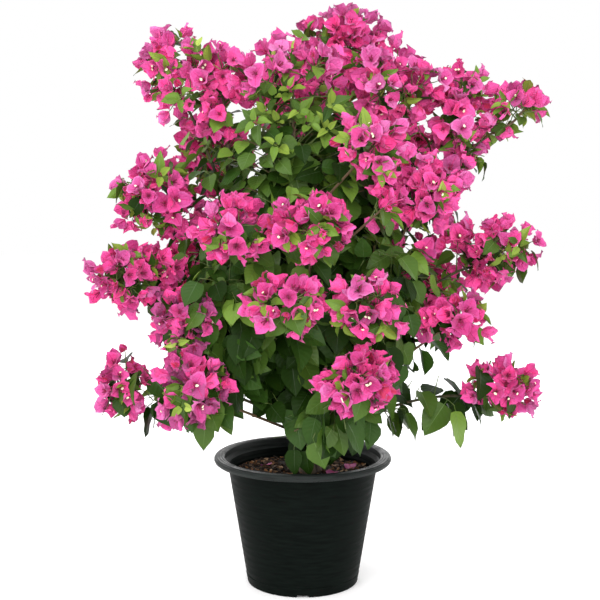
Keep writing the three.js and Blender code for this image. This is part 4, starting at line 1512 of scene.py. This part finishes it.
def twig_targets(each, stem, count, inset):
    """The places that the twigs reach for, the ray to each, and where on the stem each twig leaves."""
    half, random = each["half"], each["random"]
    reach = Vector([max(size - inset, 0.4 * size) for size in half])
    used = min(0.6, min(half) / stem.length)
    first_turn = random() * FULL_TURN
    for i, ray in enumerate(spiral_of_rays(count, stem.along(1), first_turn, 1.7)):
        target = each["at"] + ray * reach * between(random, 0.75, 1.2)
        yield target, ray, 1 - used * (i + 0.3) / count


print("the crest's own stem is", round(mass_stem(BLOSSOM_MASSES[0]).length / MM), "mm long")

# %% [markdown]
# The plant shows only leaves in the middle of its front, under the crown. So no floret of the crown is kept
# in that window, and leafy shoots leave the front stem for places spread over it.

# %% The green window
GREEN_WINDOW = {"half width": 165 * MM, "height": 965 * MM, "half height": 135 * MM, "before": -20 * MM}
WINDOW_SHOOTS = {"count": 42, "depths": (-190, -120), "climb": 0.06, "lowest root": 0.3, "pitch": 17 * MM}


def is_in_green_window(point):
    off_x = point.x / GREEN_WINDOW["half width"]
    off_z = (point.z - GREEN_WINDOW["height"]) / GREEN_WINDOW["half height"]
    return point.y < GREEN_WINDOW["before"] and off_x**2 + off_z**2 < 1


def has_room(middle):
    return is_in_reach(middle, 16 * MM)


def fill_green_window(leaves, random):
    """Leafy shoots that leave the front stem for the middle of the front."""
    stem = LIMBS["stem_front"]["curve"]
    stem_foot, stem_tip = stem.at(0).z, stem.at(1).z
    for i in range(WINDOW_SHOOTS["count"]):
        share = math.sqrt((i + 0.5) / WINDOW_SHOOTS["count"])
        angle = GOLDEN_ANGLE * i
        across = GREEN_WINDOW["half width"] * share * math.cos(angle)
        depth = between(random, *WINDOW_SHOOTS["depths"]) * MM
        height = GREEN_WINDOW["height"] + GREEN_WINDOW["half height"] * share * math.sin(angle)
        end = Vector((across, depth, height))
        leaves_at = (end.z - WINDOW_SHOOTS["climb"] - stem_foot) / (stem_tip - stem_foot)
        root = stem.at(min(max(leaves_at, WINDOW_SHOOTS["lowest root"]), 1))
        shoot = arched(root, end, 0.12)
        ray = (Vector((0, -1, 0)) + (end - root).normalized() * 0.5).normalized()
        is_high = end.z > GREEN_WINDOW["height"]
        weights, growth = (TOP_WEIGHTS, 1.0) if is_high else (OUTER_WEIGHTS, 1.25)
        if add_leaves_along(leaves, shoot, ray, random, weights, growth, 0.3, WINDOW_SHOOTS["pitch"]):
            add_tube(twigs, shoot, *TWIGS["window shoot"], GREEN if random() < 0.5 else BROWN)
        if is_high and random() < 0.5:
            add_sprig(shoot, ray, random, has_room)


print("the window is", round(2 * GREEN_WINDOW["half width"] / MM), "mm wide")

# %% [markdown]
# ## Masses of blossom
#
# The upper blossom is the oldest in the sun and the most bleached, and its paler pinks are partly painted
# light on the top of the crown. Two low masses have faded to mauve.
# The masses at the top may stand a little out of their solids' rounded space, and two masses have thinner
# heads, through which the light ground shows.

# %% How each mass grows
MOODS = ("bright", "pale", "deep")
# High up the paler moods are partly bleaching and partly painted light on the top of the crown.
HIGH_MOOD_WEIGHTS = (3, 7, 0)
LOW_MOOD_WEIGHTS = (5, 1.5, 2.5)
FADED_MASSES = ("left_low", "left_foot")
SPARSE = {"right_arm": 0.75, "left_foot": 0.85}
BLOSSOM = {"inset": 46 * MM, "top inset": 20 * MM, "twigs": 1.4, "margin": 6 * MM, "leaf pitch": 16 * MM}
# Margins under 0, by a word in a mass's name, let its blossom stand out of the solid's space.
STANDS_PROUD = {"crest": -14 * MM, "top": -42 * MM, "peak": -4 * MM}
EDGE_MARGIN = 12 * MM


def mood_weights(point):
    return HIGH_MOOD_WEIGHTS if point.z > TOP_HEIGHT else LOW_MOOD_WEIGHTS


def room_of(each):
    """A test for the middle of a floret: True in the mass's space, outside the green window."""
    margins = [proud for word, proud in STANDS_PROUD.items() if word in each["name"]]
    margin = margins[0] if margins else BLOSSOM["margin"]
    is_front = each["name"].startswith("front")

    def is_kept(middle):
        is_green = not is_front and is_in_green_window(middle)
        return is_within(each, middle, margin) and is_in_reach(middle, EDGE_MARGIN) and not is_green

    return is_kept


def grow_blossom(each, bracts, leaves):
    random, is_kept = each["random"], room_of(each)
    stem = mass_stem(each)
    add_tube(twigs, stem, *TWIGS["mass stem"], BROWN)
    ahead = (each["at"] - stem.at(0)).normalized()
    weights = HIGH_LEAF_WEIGHTS if each["at"].z > TOP_HEIGHT else LOW_LEAF_WEIGHTS
    add_leaves_along(leaves, stem, ahead, random, weights, 1.0, 0.1, BLOSSOM["leaf pitch"])
    inset = BLOSSOM["top inset" if each["name"].startswith("top") else "inset"]
    count = round(each["twigs"] * BLOSSOM["twigs"])
    for target, ray, root_share in twig_targets(each, stem, count, inset):
        twig = arched(stem.at(root_share), target, 0.1)
        add_tube(twigs, twig, *TWIGS["blossom twig"], GREEN)
        add_leaves_along(leaves, twig, ray, random, weights, 0.85, 0.2, BLOSSOM["leaf pitch"])
        mood = "mauve" if each["name"] in FADED_MASSES else MOODS[pick(random, mood_weights(target))]
        shoots = round(HEAD["shoots"] * between(random, 0.7, 1.2) * SPARSE.get(each["name"], 1.0))
        add_head(bracts, twig, ray, random, mood, shoots, is_kept)


print(round(BLOSSOM["twigs"] * sum(each["twigs"] for each in BLOSSOM_MASSES)), "heads to grow")

# %% [markdown]
# Under the low masses hang the plant's largest leaves, on shoots that leave the mass's stem outwards and
# down. The blossom is gathered in one spray for each side of the crown.

# %% Grow the blossom
SKIRT = {"below": 700 * MM, "shoots": 5, "shoot": 85 * MM, "droop": 0.55, "pitch": 26 * MM}
WINDOW_SEED = 71
GROUPS = ("top", "left", "right", "front", "rear")


def add_skirt(each, leaves):
    random = each["random"]
    stem = mass_stem(each)
    for i in range(SKIRT["shoots"]):
        root = stem.at(between(random, 0.25, 0.9))
        angle = GOLDEN_ANGLE * i + random()
        ray = Vector((math.cos(angle), math.sin(angle), -SKIRT["droop"])).normalized()
        shoot = arched(root, root + ray * SKIRT["shoot"] * between(random, 0.7, 1.1), 0.15)
        if add_leaves_along(leaves, shoot, ray, random, SKIRT_WEIGHTS, 1.05, 0.3, SKIRT["pitch"]):
            add_tube(twigs, shoot, *TWIGS["side shoot"], GREEN)


def group_of(each):
    """The side of the crown that a mass is on, by the start of its name."""
    start = each["name"].split("_")[0]
    return "top" if start == "crest" else start


bracts_by_group = {group: Spray() for group in GROUPS}
blossom_leaves = Spray()
for each in BLOSSOM_MASSES:
    grow_blossom(each, bracts_by_group[group_of(each)], blossom_leaves)
    is_skirted = "foot" in each["name"] or each["name"].startswith(("left_low", "rear"))
    if is_skirted and each["at"].z < SKIRT["below"]:
        add_skirt(each, blossom_leaves)
fill_green_window(blossom_leaves, seeded_random(WINDOW_SEED))
print(sum(spray.count() for spray in bracts_by_group.values()) // 3, "florets in the masses")

# %% [markdown]
# ## Masses of leaves
#
# The leaves hang from their shoots with their upper faces turned out to the light, as they do on the real
# plant, and the deep ones get darker greens as painted shade. Each twig forks once more before it carries
# them.

# %% Grow the leaves
FOLIAGE = {"inset": 50 * MM, "twigs": 3.4, "shoots": 4, "shoot": 72 * MM, "depth": 1.1, "pitch": 19 * MM}


def grow_foliage(each, leaves):
    random = each["random"]
    stem = mass_stem(each)
    add_tube(twigs, stem, *TWIGS["mass stem"], BROWN)
    count = round(each["twigs"] * FOLIAGE["twigs"])
    for target, ray, root_share in twig_targets(each, stem, count, FOLIAGE["inset"]):
        twig = arched(stem.at(root_share), target, 0.1)
        add_tube(twigs, twig, *TWIGS["leaf twig"], BROWN if random() < 0.5 else GREEN)
        add_leaves_along(leaves, twig, ray, random, leaf_weights(target), 0.95, 0.3, FOLIAGE["pitch"])
        first_turn = random() * FULL_TURN
        for shoot_ray in spiral_of_rays(FOLIAGE["shoots"], ray, first_turn, FOLIAGE["depth"]):
            root = twig.at(between(random, 0.45, 0.95))
            way = (shoot_ray + random_vector(random) * 0.4).normalized()
            shoot = arched(root, root + way * FOLIAGE["shoot"] * between(random, 0.6, 1.2), 0.1)
            weights = leaf_weights(shoot.at(1))
            if add_leaves_along(leaves, shoot, ray, random, weights, 0.95, 0.2, FOLIAGE["pitch"]):
                add_tube(twigs, shoot, *TWIGS["leaf shoot"], GREEN)


core_leaves = Spray()
for each in LEAF_MASSES:
    grow_foliage(each, core_leaves)
print(core_leaves.count(), "leaves in the core")

# %% [markdown]
# ## Side shoots on the limbs
#
# A real stem isn't bare between its forks: short leafy shoots leave it on all sides, a golden angle apart,
# and some of the outer ones flower too. They hide the straight run of each stem and join the masses
# together.

# %% Places that flower
FLOWERING = {"from": 400 * MM, "green front": 230 * MM, "front up to": 1000 * MM, "tips beyond": 350 * MM}
TOP_GROUP_FROM = 980 * MM


def may_flower(point):
    """True for the outer places that flower between the masses. The middle of the front stays green."""
    is_outer = (point.xy - TRUNK_FOOT.xy).length > OUTER_REACH and point.z > FLOWERING["from"]
    is_middle = abs(point.x) < FLOWERING["green front"] and point.z < FLOWERING["front up to"]
    is_tip = abs(point.x) > FLOWERING["tips beyond"]
    return is_outer and not (point.y < 0 and is_middle) and not is_tip


def side_of(point):
    """The side of the crown that a place is on."""
    if point.z > TOP_GROUP_FROM:
        return "top"
    if abs(point.x) > abs(point.y):
        return "left" if point.x < 0 else "right"
    return "front" if point.y < 0 else "rear"


print("a place 300 mm to the left and 700 mm up is on the", side_of(Vector((-0.3, 0, 0.7))))

# %% [markdown]
# The shoots are longer on the old wood inside and shorter on the boughs, so that the outline stays with the
# masses. The four stems also get leaves on short stalks over their outer sides, which hide the bare poles.

# %% Dress the limbs
DRESSING = {
    "trunk": {"first": 0.3, "last": 0.98, "pitch": 11 * MM, "longest": 135 * MM},
    "stem": {"first": 0.22, "last": 0.98, "pitch": 12 * MM, "longest": 115 * MM},
    "bough": {"first": 0.2, "last": 0.95, "pitch": 21 * MM, "longest": 90 * MM},
}
SIDE_SHOOT = {"shortest": 0.45, "high on a bough": 0.6, "room": 40 * MM, "leaf pitch": 18 * MM}
SIDE_HEAD = {"shoots": 5, "share": 0.25}
WELL_FLOWERED = {"bough_right_arm": 0.5}
COVER = {"first": 0.34, "last": 1.0, "pitch": 24 * MM, "stalk": (6, 22), "light from": 60 * MM}
DRESSING_SEED, COVER_SEED = 501, 601


def dress_limb(name, random):
    curve = LIMBS[name]["curve"]
    habit = DRESSING[name.split("_")[0]]
    run = habit["last"] - habit["first"]
    count = round(curve.length * run / habit["pitch"])
    for i in range(count):
        share = habit["first"] + run * (i + random()) / count
        root, along = curve.at(share), curve.along(share)
        around = Matrix.Rotation(GOLDEN_ANGLE * i, 3, along) @ along.orthogonal().normalized()
        ray = (around + along * 0.4 + UP * 0.3).normalized()
        is_short = root.z > TOP_HEIGHT and name.startswith("bough")
        longest = habit["longest"] * (SIDE_SHOOT["high on a bough"] if is_short else 1.0)
        shoot = arched(root, root + ray * longest * between(random, SIDE_SHOOT["shortest"], 1), 0.1)
        end = shoot.at(1)
        if not is_in_reach(end, SIDE_SHOOT["room"]):
            continue
        growth, weights = 0.9 if end.z > LOW_HEIGHT else 1.1, leaf_weights(end)
        pitch = SIDE_SHOOT["leaf pitch"]
        if not add_leaves_along(blossom_leaves, shoot, ray, random, weights, growth, 0.15, pitch):
            continue
        add_tube(twigs, shoot, *TWIGS["side shoot"], GREEN)
        if may_flower(end) and random() < WELL_FLOWERED.get(name, SIDE_HEAD["share"]):
            mood = MOODS[pick(random, mood_weights(end))]
            bracts = bracts_by_group[side_of(end)]
            add_head(bracts, shoot, ray, random, mood, SIDE_HEAD["shoots"], has_room)


def cover_limb(name, random):
    """Leaves on short stalks that hang over the outer side of a limb."""
    curve = LIMBS[name]["curve"]
    for share in np.arange(COVER["first"], COVER["last"], COVER["pitch"] / curve.length):
        root = curve.at(share)
        outward = ((root - TRUNK_CURVE.at(0.5)) * Vector((1, 1, 0))).normalized()
        root = root + outward * between(random, *COVER["stalk"]) * MM
        side = outward.cross(UP) * between(random, -0.8, 0.8)
        direction = side - UP + outward * 0.2
        facing = outward + UP * 0.5 + random_vector(random) * 0.6
        weights = leaf_weights(root + outward * COVER["light from"])
        add_leaf(blossom_leaves, root, direction, facing, random, weights, size_at(root, random))


for index, name in enumerate(LIMBS):
    dress_limb(name, seeded_random(DRESSING_SEED + index))
    if name.startswith("stem"):
        cover_limb(name, seeded_random(COVER_SEED + index))
print(sum(spray.count() for spray in bracts_by_group.values()) // 3, "florets in all")
print(blossom_leaves.count(), "leaves among the blossom and", young_leaves.count(), "young ones")

# %% [markdown]
# ## Painted light for the bracts in the shade
#
# Light goes through a real bract as through paper, so one that stands in the shade of others isn't dull but
# glows in a hotter pink. This light is painted: the bracts that see little open sky get brighter pinks that
# stand in for the light through them. The side that shows is the one away from a bract's neighbours, and the
# rays from it that leave the crown are counted.

# %% Open sky
SKY = {"neighbours": 45 * MM, "rays": 20, "spread": 0.85, "start": 3 * MM, "from above": 0.3}


def find_open_ways(middles):
    """For each place the mean direction away from its neighbours."""
    tree = KDTree(len(middles))
    for index, middle in enumerate(middles):
        tree.insert(middle, index)
    tree.balance()
    for middle in middles:
        yield sum((middle - other for other, _, _ in tree.find_range(middle, SKY["neighbours"])), Vector())


def tree_of_blades(sprays):
    """Every blade of the sprays in one tree that rays can be cast into."""
    places, faces = [], []
    for spray in sprays:
        for shape_name, copies in spray.copies.items():
            shape = SHAPES[shape_name]
            corners = np.split(shape["corners"], np.cumsum(shape["sizes"])[:-1])
            for points, _ in copies:
                faces += [(ring + len(places)).tolist() for ring in corners]
                places += points.tolist()
    return BVHTree.FromPolygons(places, faces)


def across_blade(points):
    """The direction square to a blade, up to its sign: the one in which its points spread least."""
    return Vector(np.linalg.svd(points - points.mean(axis=0), full_matrices=False)[2][2])


def sky_share(tree, middle, facing):
    """The share of the rays from one side of a blade that leave the crown. More light comes from above."""
    start = middle + facing * SKY["start"]
    rays = spiral_of_rays(SKY["rays"], facing, 0.0, SKY["spread"])
    free = sum(tree.ray_cast(start, ray)[0] is None for ray in rays)
    return free / SKY["rays"] * (1 + SKY["from above"] * facing.z)


blades = tree_of_blades([*bracts_by_group.values(), blossom_leaves, core_leaves, young_leaves])
print("open sky in the heart of the crown:", round(sky_share(blades, Vector((0, 0, 0.8)), UP), 2))

# %% [markdown]
# The painted looks change in two steps, at 42% and at 20% of open sky. More steps would look smoother, but
# each adds finishes to every piece, and the eye takes the two for one soft change.

# %% Looks for the shade
HALF_LIT_BELOW = 0.42
DARK_BELOW = 0.2


def painted_light_look(look, light):
    if light < DARK_BELOW:
        return PAINTED_GLOW_LOOKS.get(look, look)
    return PAINTED_HALF_LIGHT_LOOKS.get(look, look) if light < HALF_LIT_BELOW else look


bract_copies = [copies for spray in bracts_by_group.values() for copies in spray.copies.values()]
open_ways = find_open_ways([Vector(points.mean(axis=0)) for copies in bract_copies for points, _ in copies])
light_of_bracts = []
for copies in bract_copies:
    for index, (points, look) in enumerate(copies):
        facing = across_blade(points)
        if facing.dot(next(open_ways)) < 0:
            facing = -facing
        light_of_bracts.append(sky_share(blades, Vector(points.mean(axis=0)), facing))
        # A bract with little open sky takes a brighter look: painted light through it.
        copies[index] = (points, painted_light_look(look, light_of_bracts[-1]))
print("light on the bracts at 10, 50 and 90%:", np.percentile(light_of_bracts, (10, 50, 90)).round(2))

# %% [markdown]
# ## The crown's pieces
#
# Each kind of growth becomes its own piece, so that twigs, leaves and blossom can be told apart and none is
# too large to handle. The blossom is one piece for each side of the crown.

# %% Join the crown into pieces
for group, spray in bracts_by_group.items():
    piece = spray.joined("bracts_" + group, BRACT_LOOKS)
    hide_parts(*[each["name"] for each in BLOSSOM_MASSES if group_of(each) == group])
flowers.joined("flower_tubes", [(TUBE_SKIN, STAR_CREAM)])
core_piece = core_leaves.joined("leaves_of_the_core", LEAF_LOOKS)
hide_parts(*[each["name"] for each in LEAF_MASSES])
blossom_leaves.joined("leaves_among_blossom", LEAF_LOOKS)
young_leaves.joined("young_leaves", LEAF_LOOKS)
twigs.joined("twigs", CANES)

# %% [markdown]
# ## Potting mix
#
# The pot is filled with composted bark. The mix is a spun plug that stands just inside the wall, and a
# smooth noise moves its top up and down, as the mix settles round roots and water.

# %% Potting mix
SOIL_TOP = 247 * MM
SOIL_GAP = 1 * MM
MIX_COLOURS = {"dark": "#0f0b07", "pale": "#2a1e14"}
MIX_FIBRE = {"pitch": 3 * MM, "detail": 6.0}
MIX_SWELLS = ((5, 24), (2, 7))  # height and width of each, in millimetres
TOP_ROWS = 16

MIX = new_finish("Damp composted bark", MIX_COLOURS["dark"], 0.92)
fibre = grain(MIX, **MIX_FIBRE)
mottle(MIX, fibre, **MIX_COLOURS)
give_relief(MIX, fibre, 0.8 * MM)
inside = POT["wall"] + SOIL_GAP
SOIL_RADIUS = wall_radius(SOIL_LEVEL) - inside
mix_profile = [(0, POT["floor"] + MM), (POT["base radius"] - inside - MM, POT["floor"] + MM)]
mix_profile += [(SOIL_RADIUS, SOIL_TOP - 4 * MM)]
mix_profile += [(SOIL_RADIUS * share, SOIL_TOP) for share in np.linspace(0.96, 0.0, TOP_ROWS)]
plug = spin_profile(mix_profile, 72)
for vert in plug.verts:
    if vert.co.z > SOIL_TOP - 6 * MM and vert.co.xy.length < SOIL_RADIUS - MM:
        vert.co.z += sum(height * MM * noise.noise(vert.co / (width * MM)) for height, width in MIX_SWELLS)
mix_piece = piece_from(plug, "potting_mix", [MIX])
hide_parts("potting_soil")

# %% [markdown]
# ## Bark chips
#
# The bark chips are 5 to 22 mm long, in browns from nearly black to orange, with dark gaps between them.
# They are copies of a few flattened, dented shapes, laid over the mix at small tilts and left flat-sided,
# as broken bark is. The golden angle spreads them evenly.

# %% Bark chips
CHIPS = {"count": 1900, "length": 15 * MM, "shapes": 6, "sizes": (0.35, 1.1), "from the wall": 6 * MM}
CHIP_DENTS = Vector((0.4, 0.26, 0.1))
CHIP_GRAIN = {"pitch": 1.6 * MM, "stretch": (1, 0.4, 1), "detail": 6.0}
CHIP_COLOURS = {"dark": "#2b1e14", "brown": "#553a24", "orange brown": "#86582f", "pale wood": "#a58563"}
CHIP_WEIGHTS = (8, 4, 2, 0.8)
CHIP_SEED, SCATTER_SEED = 900, 77


def make_chip_finish(name, colour):
    chip = new_finish(name, colour, 0.85)
    give_relief(chip, grain(chip, **CHIP_GRAIN), 0.5 * MM)
    return chip


def keep_chip_shape(name, seed):
    """A flat, broken flake about 1 unit long."""
    random = seeded_random(seed)
    bm = bmesh.new()
    bmesh.ops.create_icosphere(bm, subdivisions=1, radius=0.5)
    bmesh.ops.scale(bm, verts=bm.verts, vec=(1.0, 0.3 + 0.3 * random(), 0.1 + 0.1 * random()))
    for vert in bm.verts:
        vert.co += random_vector(random) * CHIP_DENTS
    keep_shape(name, bm)


def scatter_chips(chips, random):
    for i in range(CHIPS["count"]):
        reach = (SOIL_RADIUS - CHIPS["from the wall"]) * math.sqrt((i + 0.5) / CHIPS["count"])
        angle = GOLDEN_ANGLE * i + 0.5 * random()
        height = SOIL_TOP + 4 * MM * random()
        turn = Matrix.Rotation(random() * FULL_TURN, 3, "Z")
        turn = turn @ Matrix.Rotation(between(random, -0.8, 0.8), 3, "X")
        turn = turn @ Matrix.Rotation(between(random, -0.6, 0.6), 3, "Y")
        least, most = CHIPS["sizes"]
        size = CHIPS["length"] * (least + most * random() ** 2)
        here = Vector((reach * math.cos(angle), reach * math.sin(angle), height))
        chips.add(f"chip {i % CHIPS['shapes']}", turn * size, here, pick(random, CHIP_WEIGHTS))


CHIP_TINTS = [make_chip_finish("Bark chip, " + name, colour) for name, colour in CHIP_COLOURS.items()]
for index in range(CHIPS["shapes"]):
    keep_chip_shape(f"chip {index}", CHIP_SEED + index)
chips = Spray()
scatter_chips(chips, seeded_random(SCATTER_SEED))
chips_piece = chips.joined("bark_chips", [(tint,) for tint in CHIP_TINTS])
chips_piece.data.polygons.foreach_set("use_smooth", np.zeros(len(chips_piece.data.polygons), bool))

# %% [markdown]
# Bracts fall when they are old, and a few lie on the mix, faded to mauve. They are copies of the same
# shapes, tipped over on their backs.

# %% Fallen bracts
FALLEN = ((-14, 74), (-98, 138), (25, 120), (150, 90), (-140, 120), (80, 110))  # compass angle and reach
FALLEN_HEIGHT = 254
FALLEN_SEED = 55

random = seeded_random(FALLEN_SEED)
fallen = Spray()
for angle, reach in FALLEN:
    here = place(angle, reach, FALLEN_HEIGHT)
    turn = Matrix.Rotation(random() * FULL_TURN, 3, "Z") @ Matrix.Rotation(-1.0, 3, "X")
    fallen.add(f"bract {int(random() * 4)}", turn * (0.7 + 0.3 * random()), here, MAUVE_LOOK)
fallen.joined("fallen_bracts", BRACT_LOOKS)

# %% [markdown]
# ## Floor
#
# The photograph is a cut-out on white. A wide white floor and a white world give the same ground, and the
# floor catches the soft shadow that seats the pot on it. It lies a hair under the pot, or the two faces
# would flicker.

# %% Floor
FLOOR = {"radius": 12.0, "below": 0.2 * MM}

bm = bmesh.new()
bmesh.ops.create_circle(bm, cap_ends=True, segments=64, radius=FLOOR["radius"])
bmesh.ops.translate(bm, verts=bm.verts, vec=(0, 0, -FLOOR["below"]))
bmesh.ops.recalc_face_normals(bm, faces=bm.faces)
floor_mesh = bpy.data.meshes.new("studio_floor")
floor_mesh.materials.append(new_finish("Matt white studio floor", "#ffffff", 0.95))
bm.to_mesh(floor_mesh)
bm.free()
floor = stood_in_scene("studio_floor", floor_mesh)
print("the floor is", 2 * FLOOR["radius"], "m wide")

# %% [markdown]
# ## Light
#
# The plant is lit softly from above and in front. A key light stands high on the left, a larger fill low in
# front lights the shaded bracts, and three more fills stand at the sides and behind. All are area lights,
# because small lamps would give the leaves hard shadows.

# %% Light
AIM = Vector((0, 0, 0.7))
KEY = {"stands": Vector((-1.2, -2.4, 3.4)), "size": 1.6, "power": 58}
FRONT_FILL = {"stands": Vector((0.2, -3.8, 1.4)), "size": 2.5, "power": 68}
SIDE_FILL = {"off": 3.8, "height": 1.8, "size": 2.5, "power": 60}
SIDE_FILL_ANGLES = {"right fill": 10, "rear fill": 90, "left fill": 170}
WORLD_STRENGTH = 1.0


def add_soft_light(name, stands, size, power):
    lamp = bpy.data.lights.new(name, "AREA")
    lamp.size = size
    lamp.energy = power
    light = stood_in_scene(name, lamp)
    light.location = stands
    light.rotation_euler = (AIM - stands).to_track_quat("-Z", "Y").to_euler()


add_soft_light("key", **KEY)
add_soft_light("front fill", **FRONT_FILL)
for name, angle in SIDE_FILL_ANGLES.items():
    turn, off = math.radians(angle), SIDE_FILL["off"]
    stands = Vector((off * math.cos(turn), off * math.sin(turn), SIDE_FILL["height"]))
    add_soft_light(name, stands, SIDE_FILL["size"], SIDE_FILL["power"])
world = bpy.data.worlds.new("White studio")
world.use_nodes = True
background = world.node_tree.nodes["Background"]
background.inputs["Color"].default_value = (1, 1, 1, 1)
background.inputs["Strength"].default_value = WORLD_STRENGTH
bpy.context.scene.world = world
# The Standard view shows colours as they are, where a filmic one would grey the white ground and the pinks.
bpy.context.scene.view_settings.view_transform = "Standard"
print("lights:", ["key", "front fill", *SIDE_FILL_ANGLES])

# %% [markdown]
# ## Camera
#
# The camera stands where the photograph's did: the pot's ellipses and the height of the crown give its
# height, its distance and its slight downward tilt, and the focal length is measured in the photograph's
# own pixels.

# %% Camera
PHOTO_WIDTH = 600  # pixels
FOCAL_LENGTH = 1171  # in the photograph's pixels
SENSOR = 36.0
CAMERA_PLACE = (-0.006, -2.6, 0.911)
DOWNWARD_TILT = 5.94  # degrees

lens = bpy.data.cameras.new("photo_camera")
lens.sensor_width = SENSOR
lens.lens = SENSOR * FOCAL_LENGTH / PHOTO_WIDTH
camera = stood_in_scene("photo_camera", lens)
camera.location = CAMERA_PLACE
camera.rotation_euler = (math.radians(90 - DOWNWARD_TILT), 0, 0)
bpy.context.scene.camera = camera
print("focal length", round(lens.lens, 1), "mm")
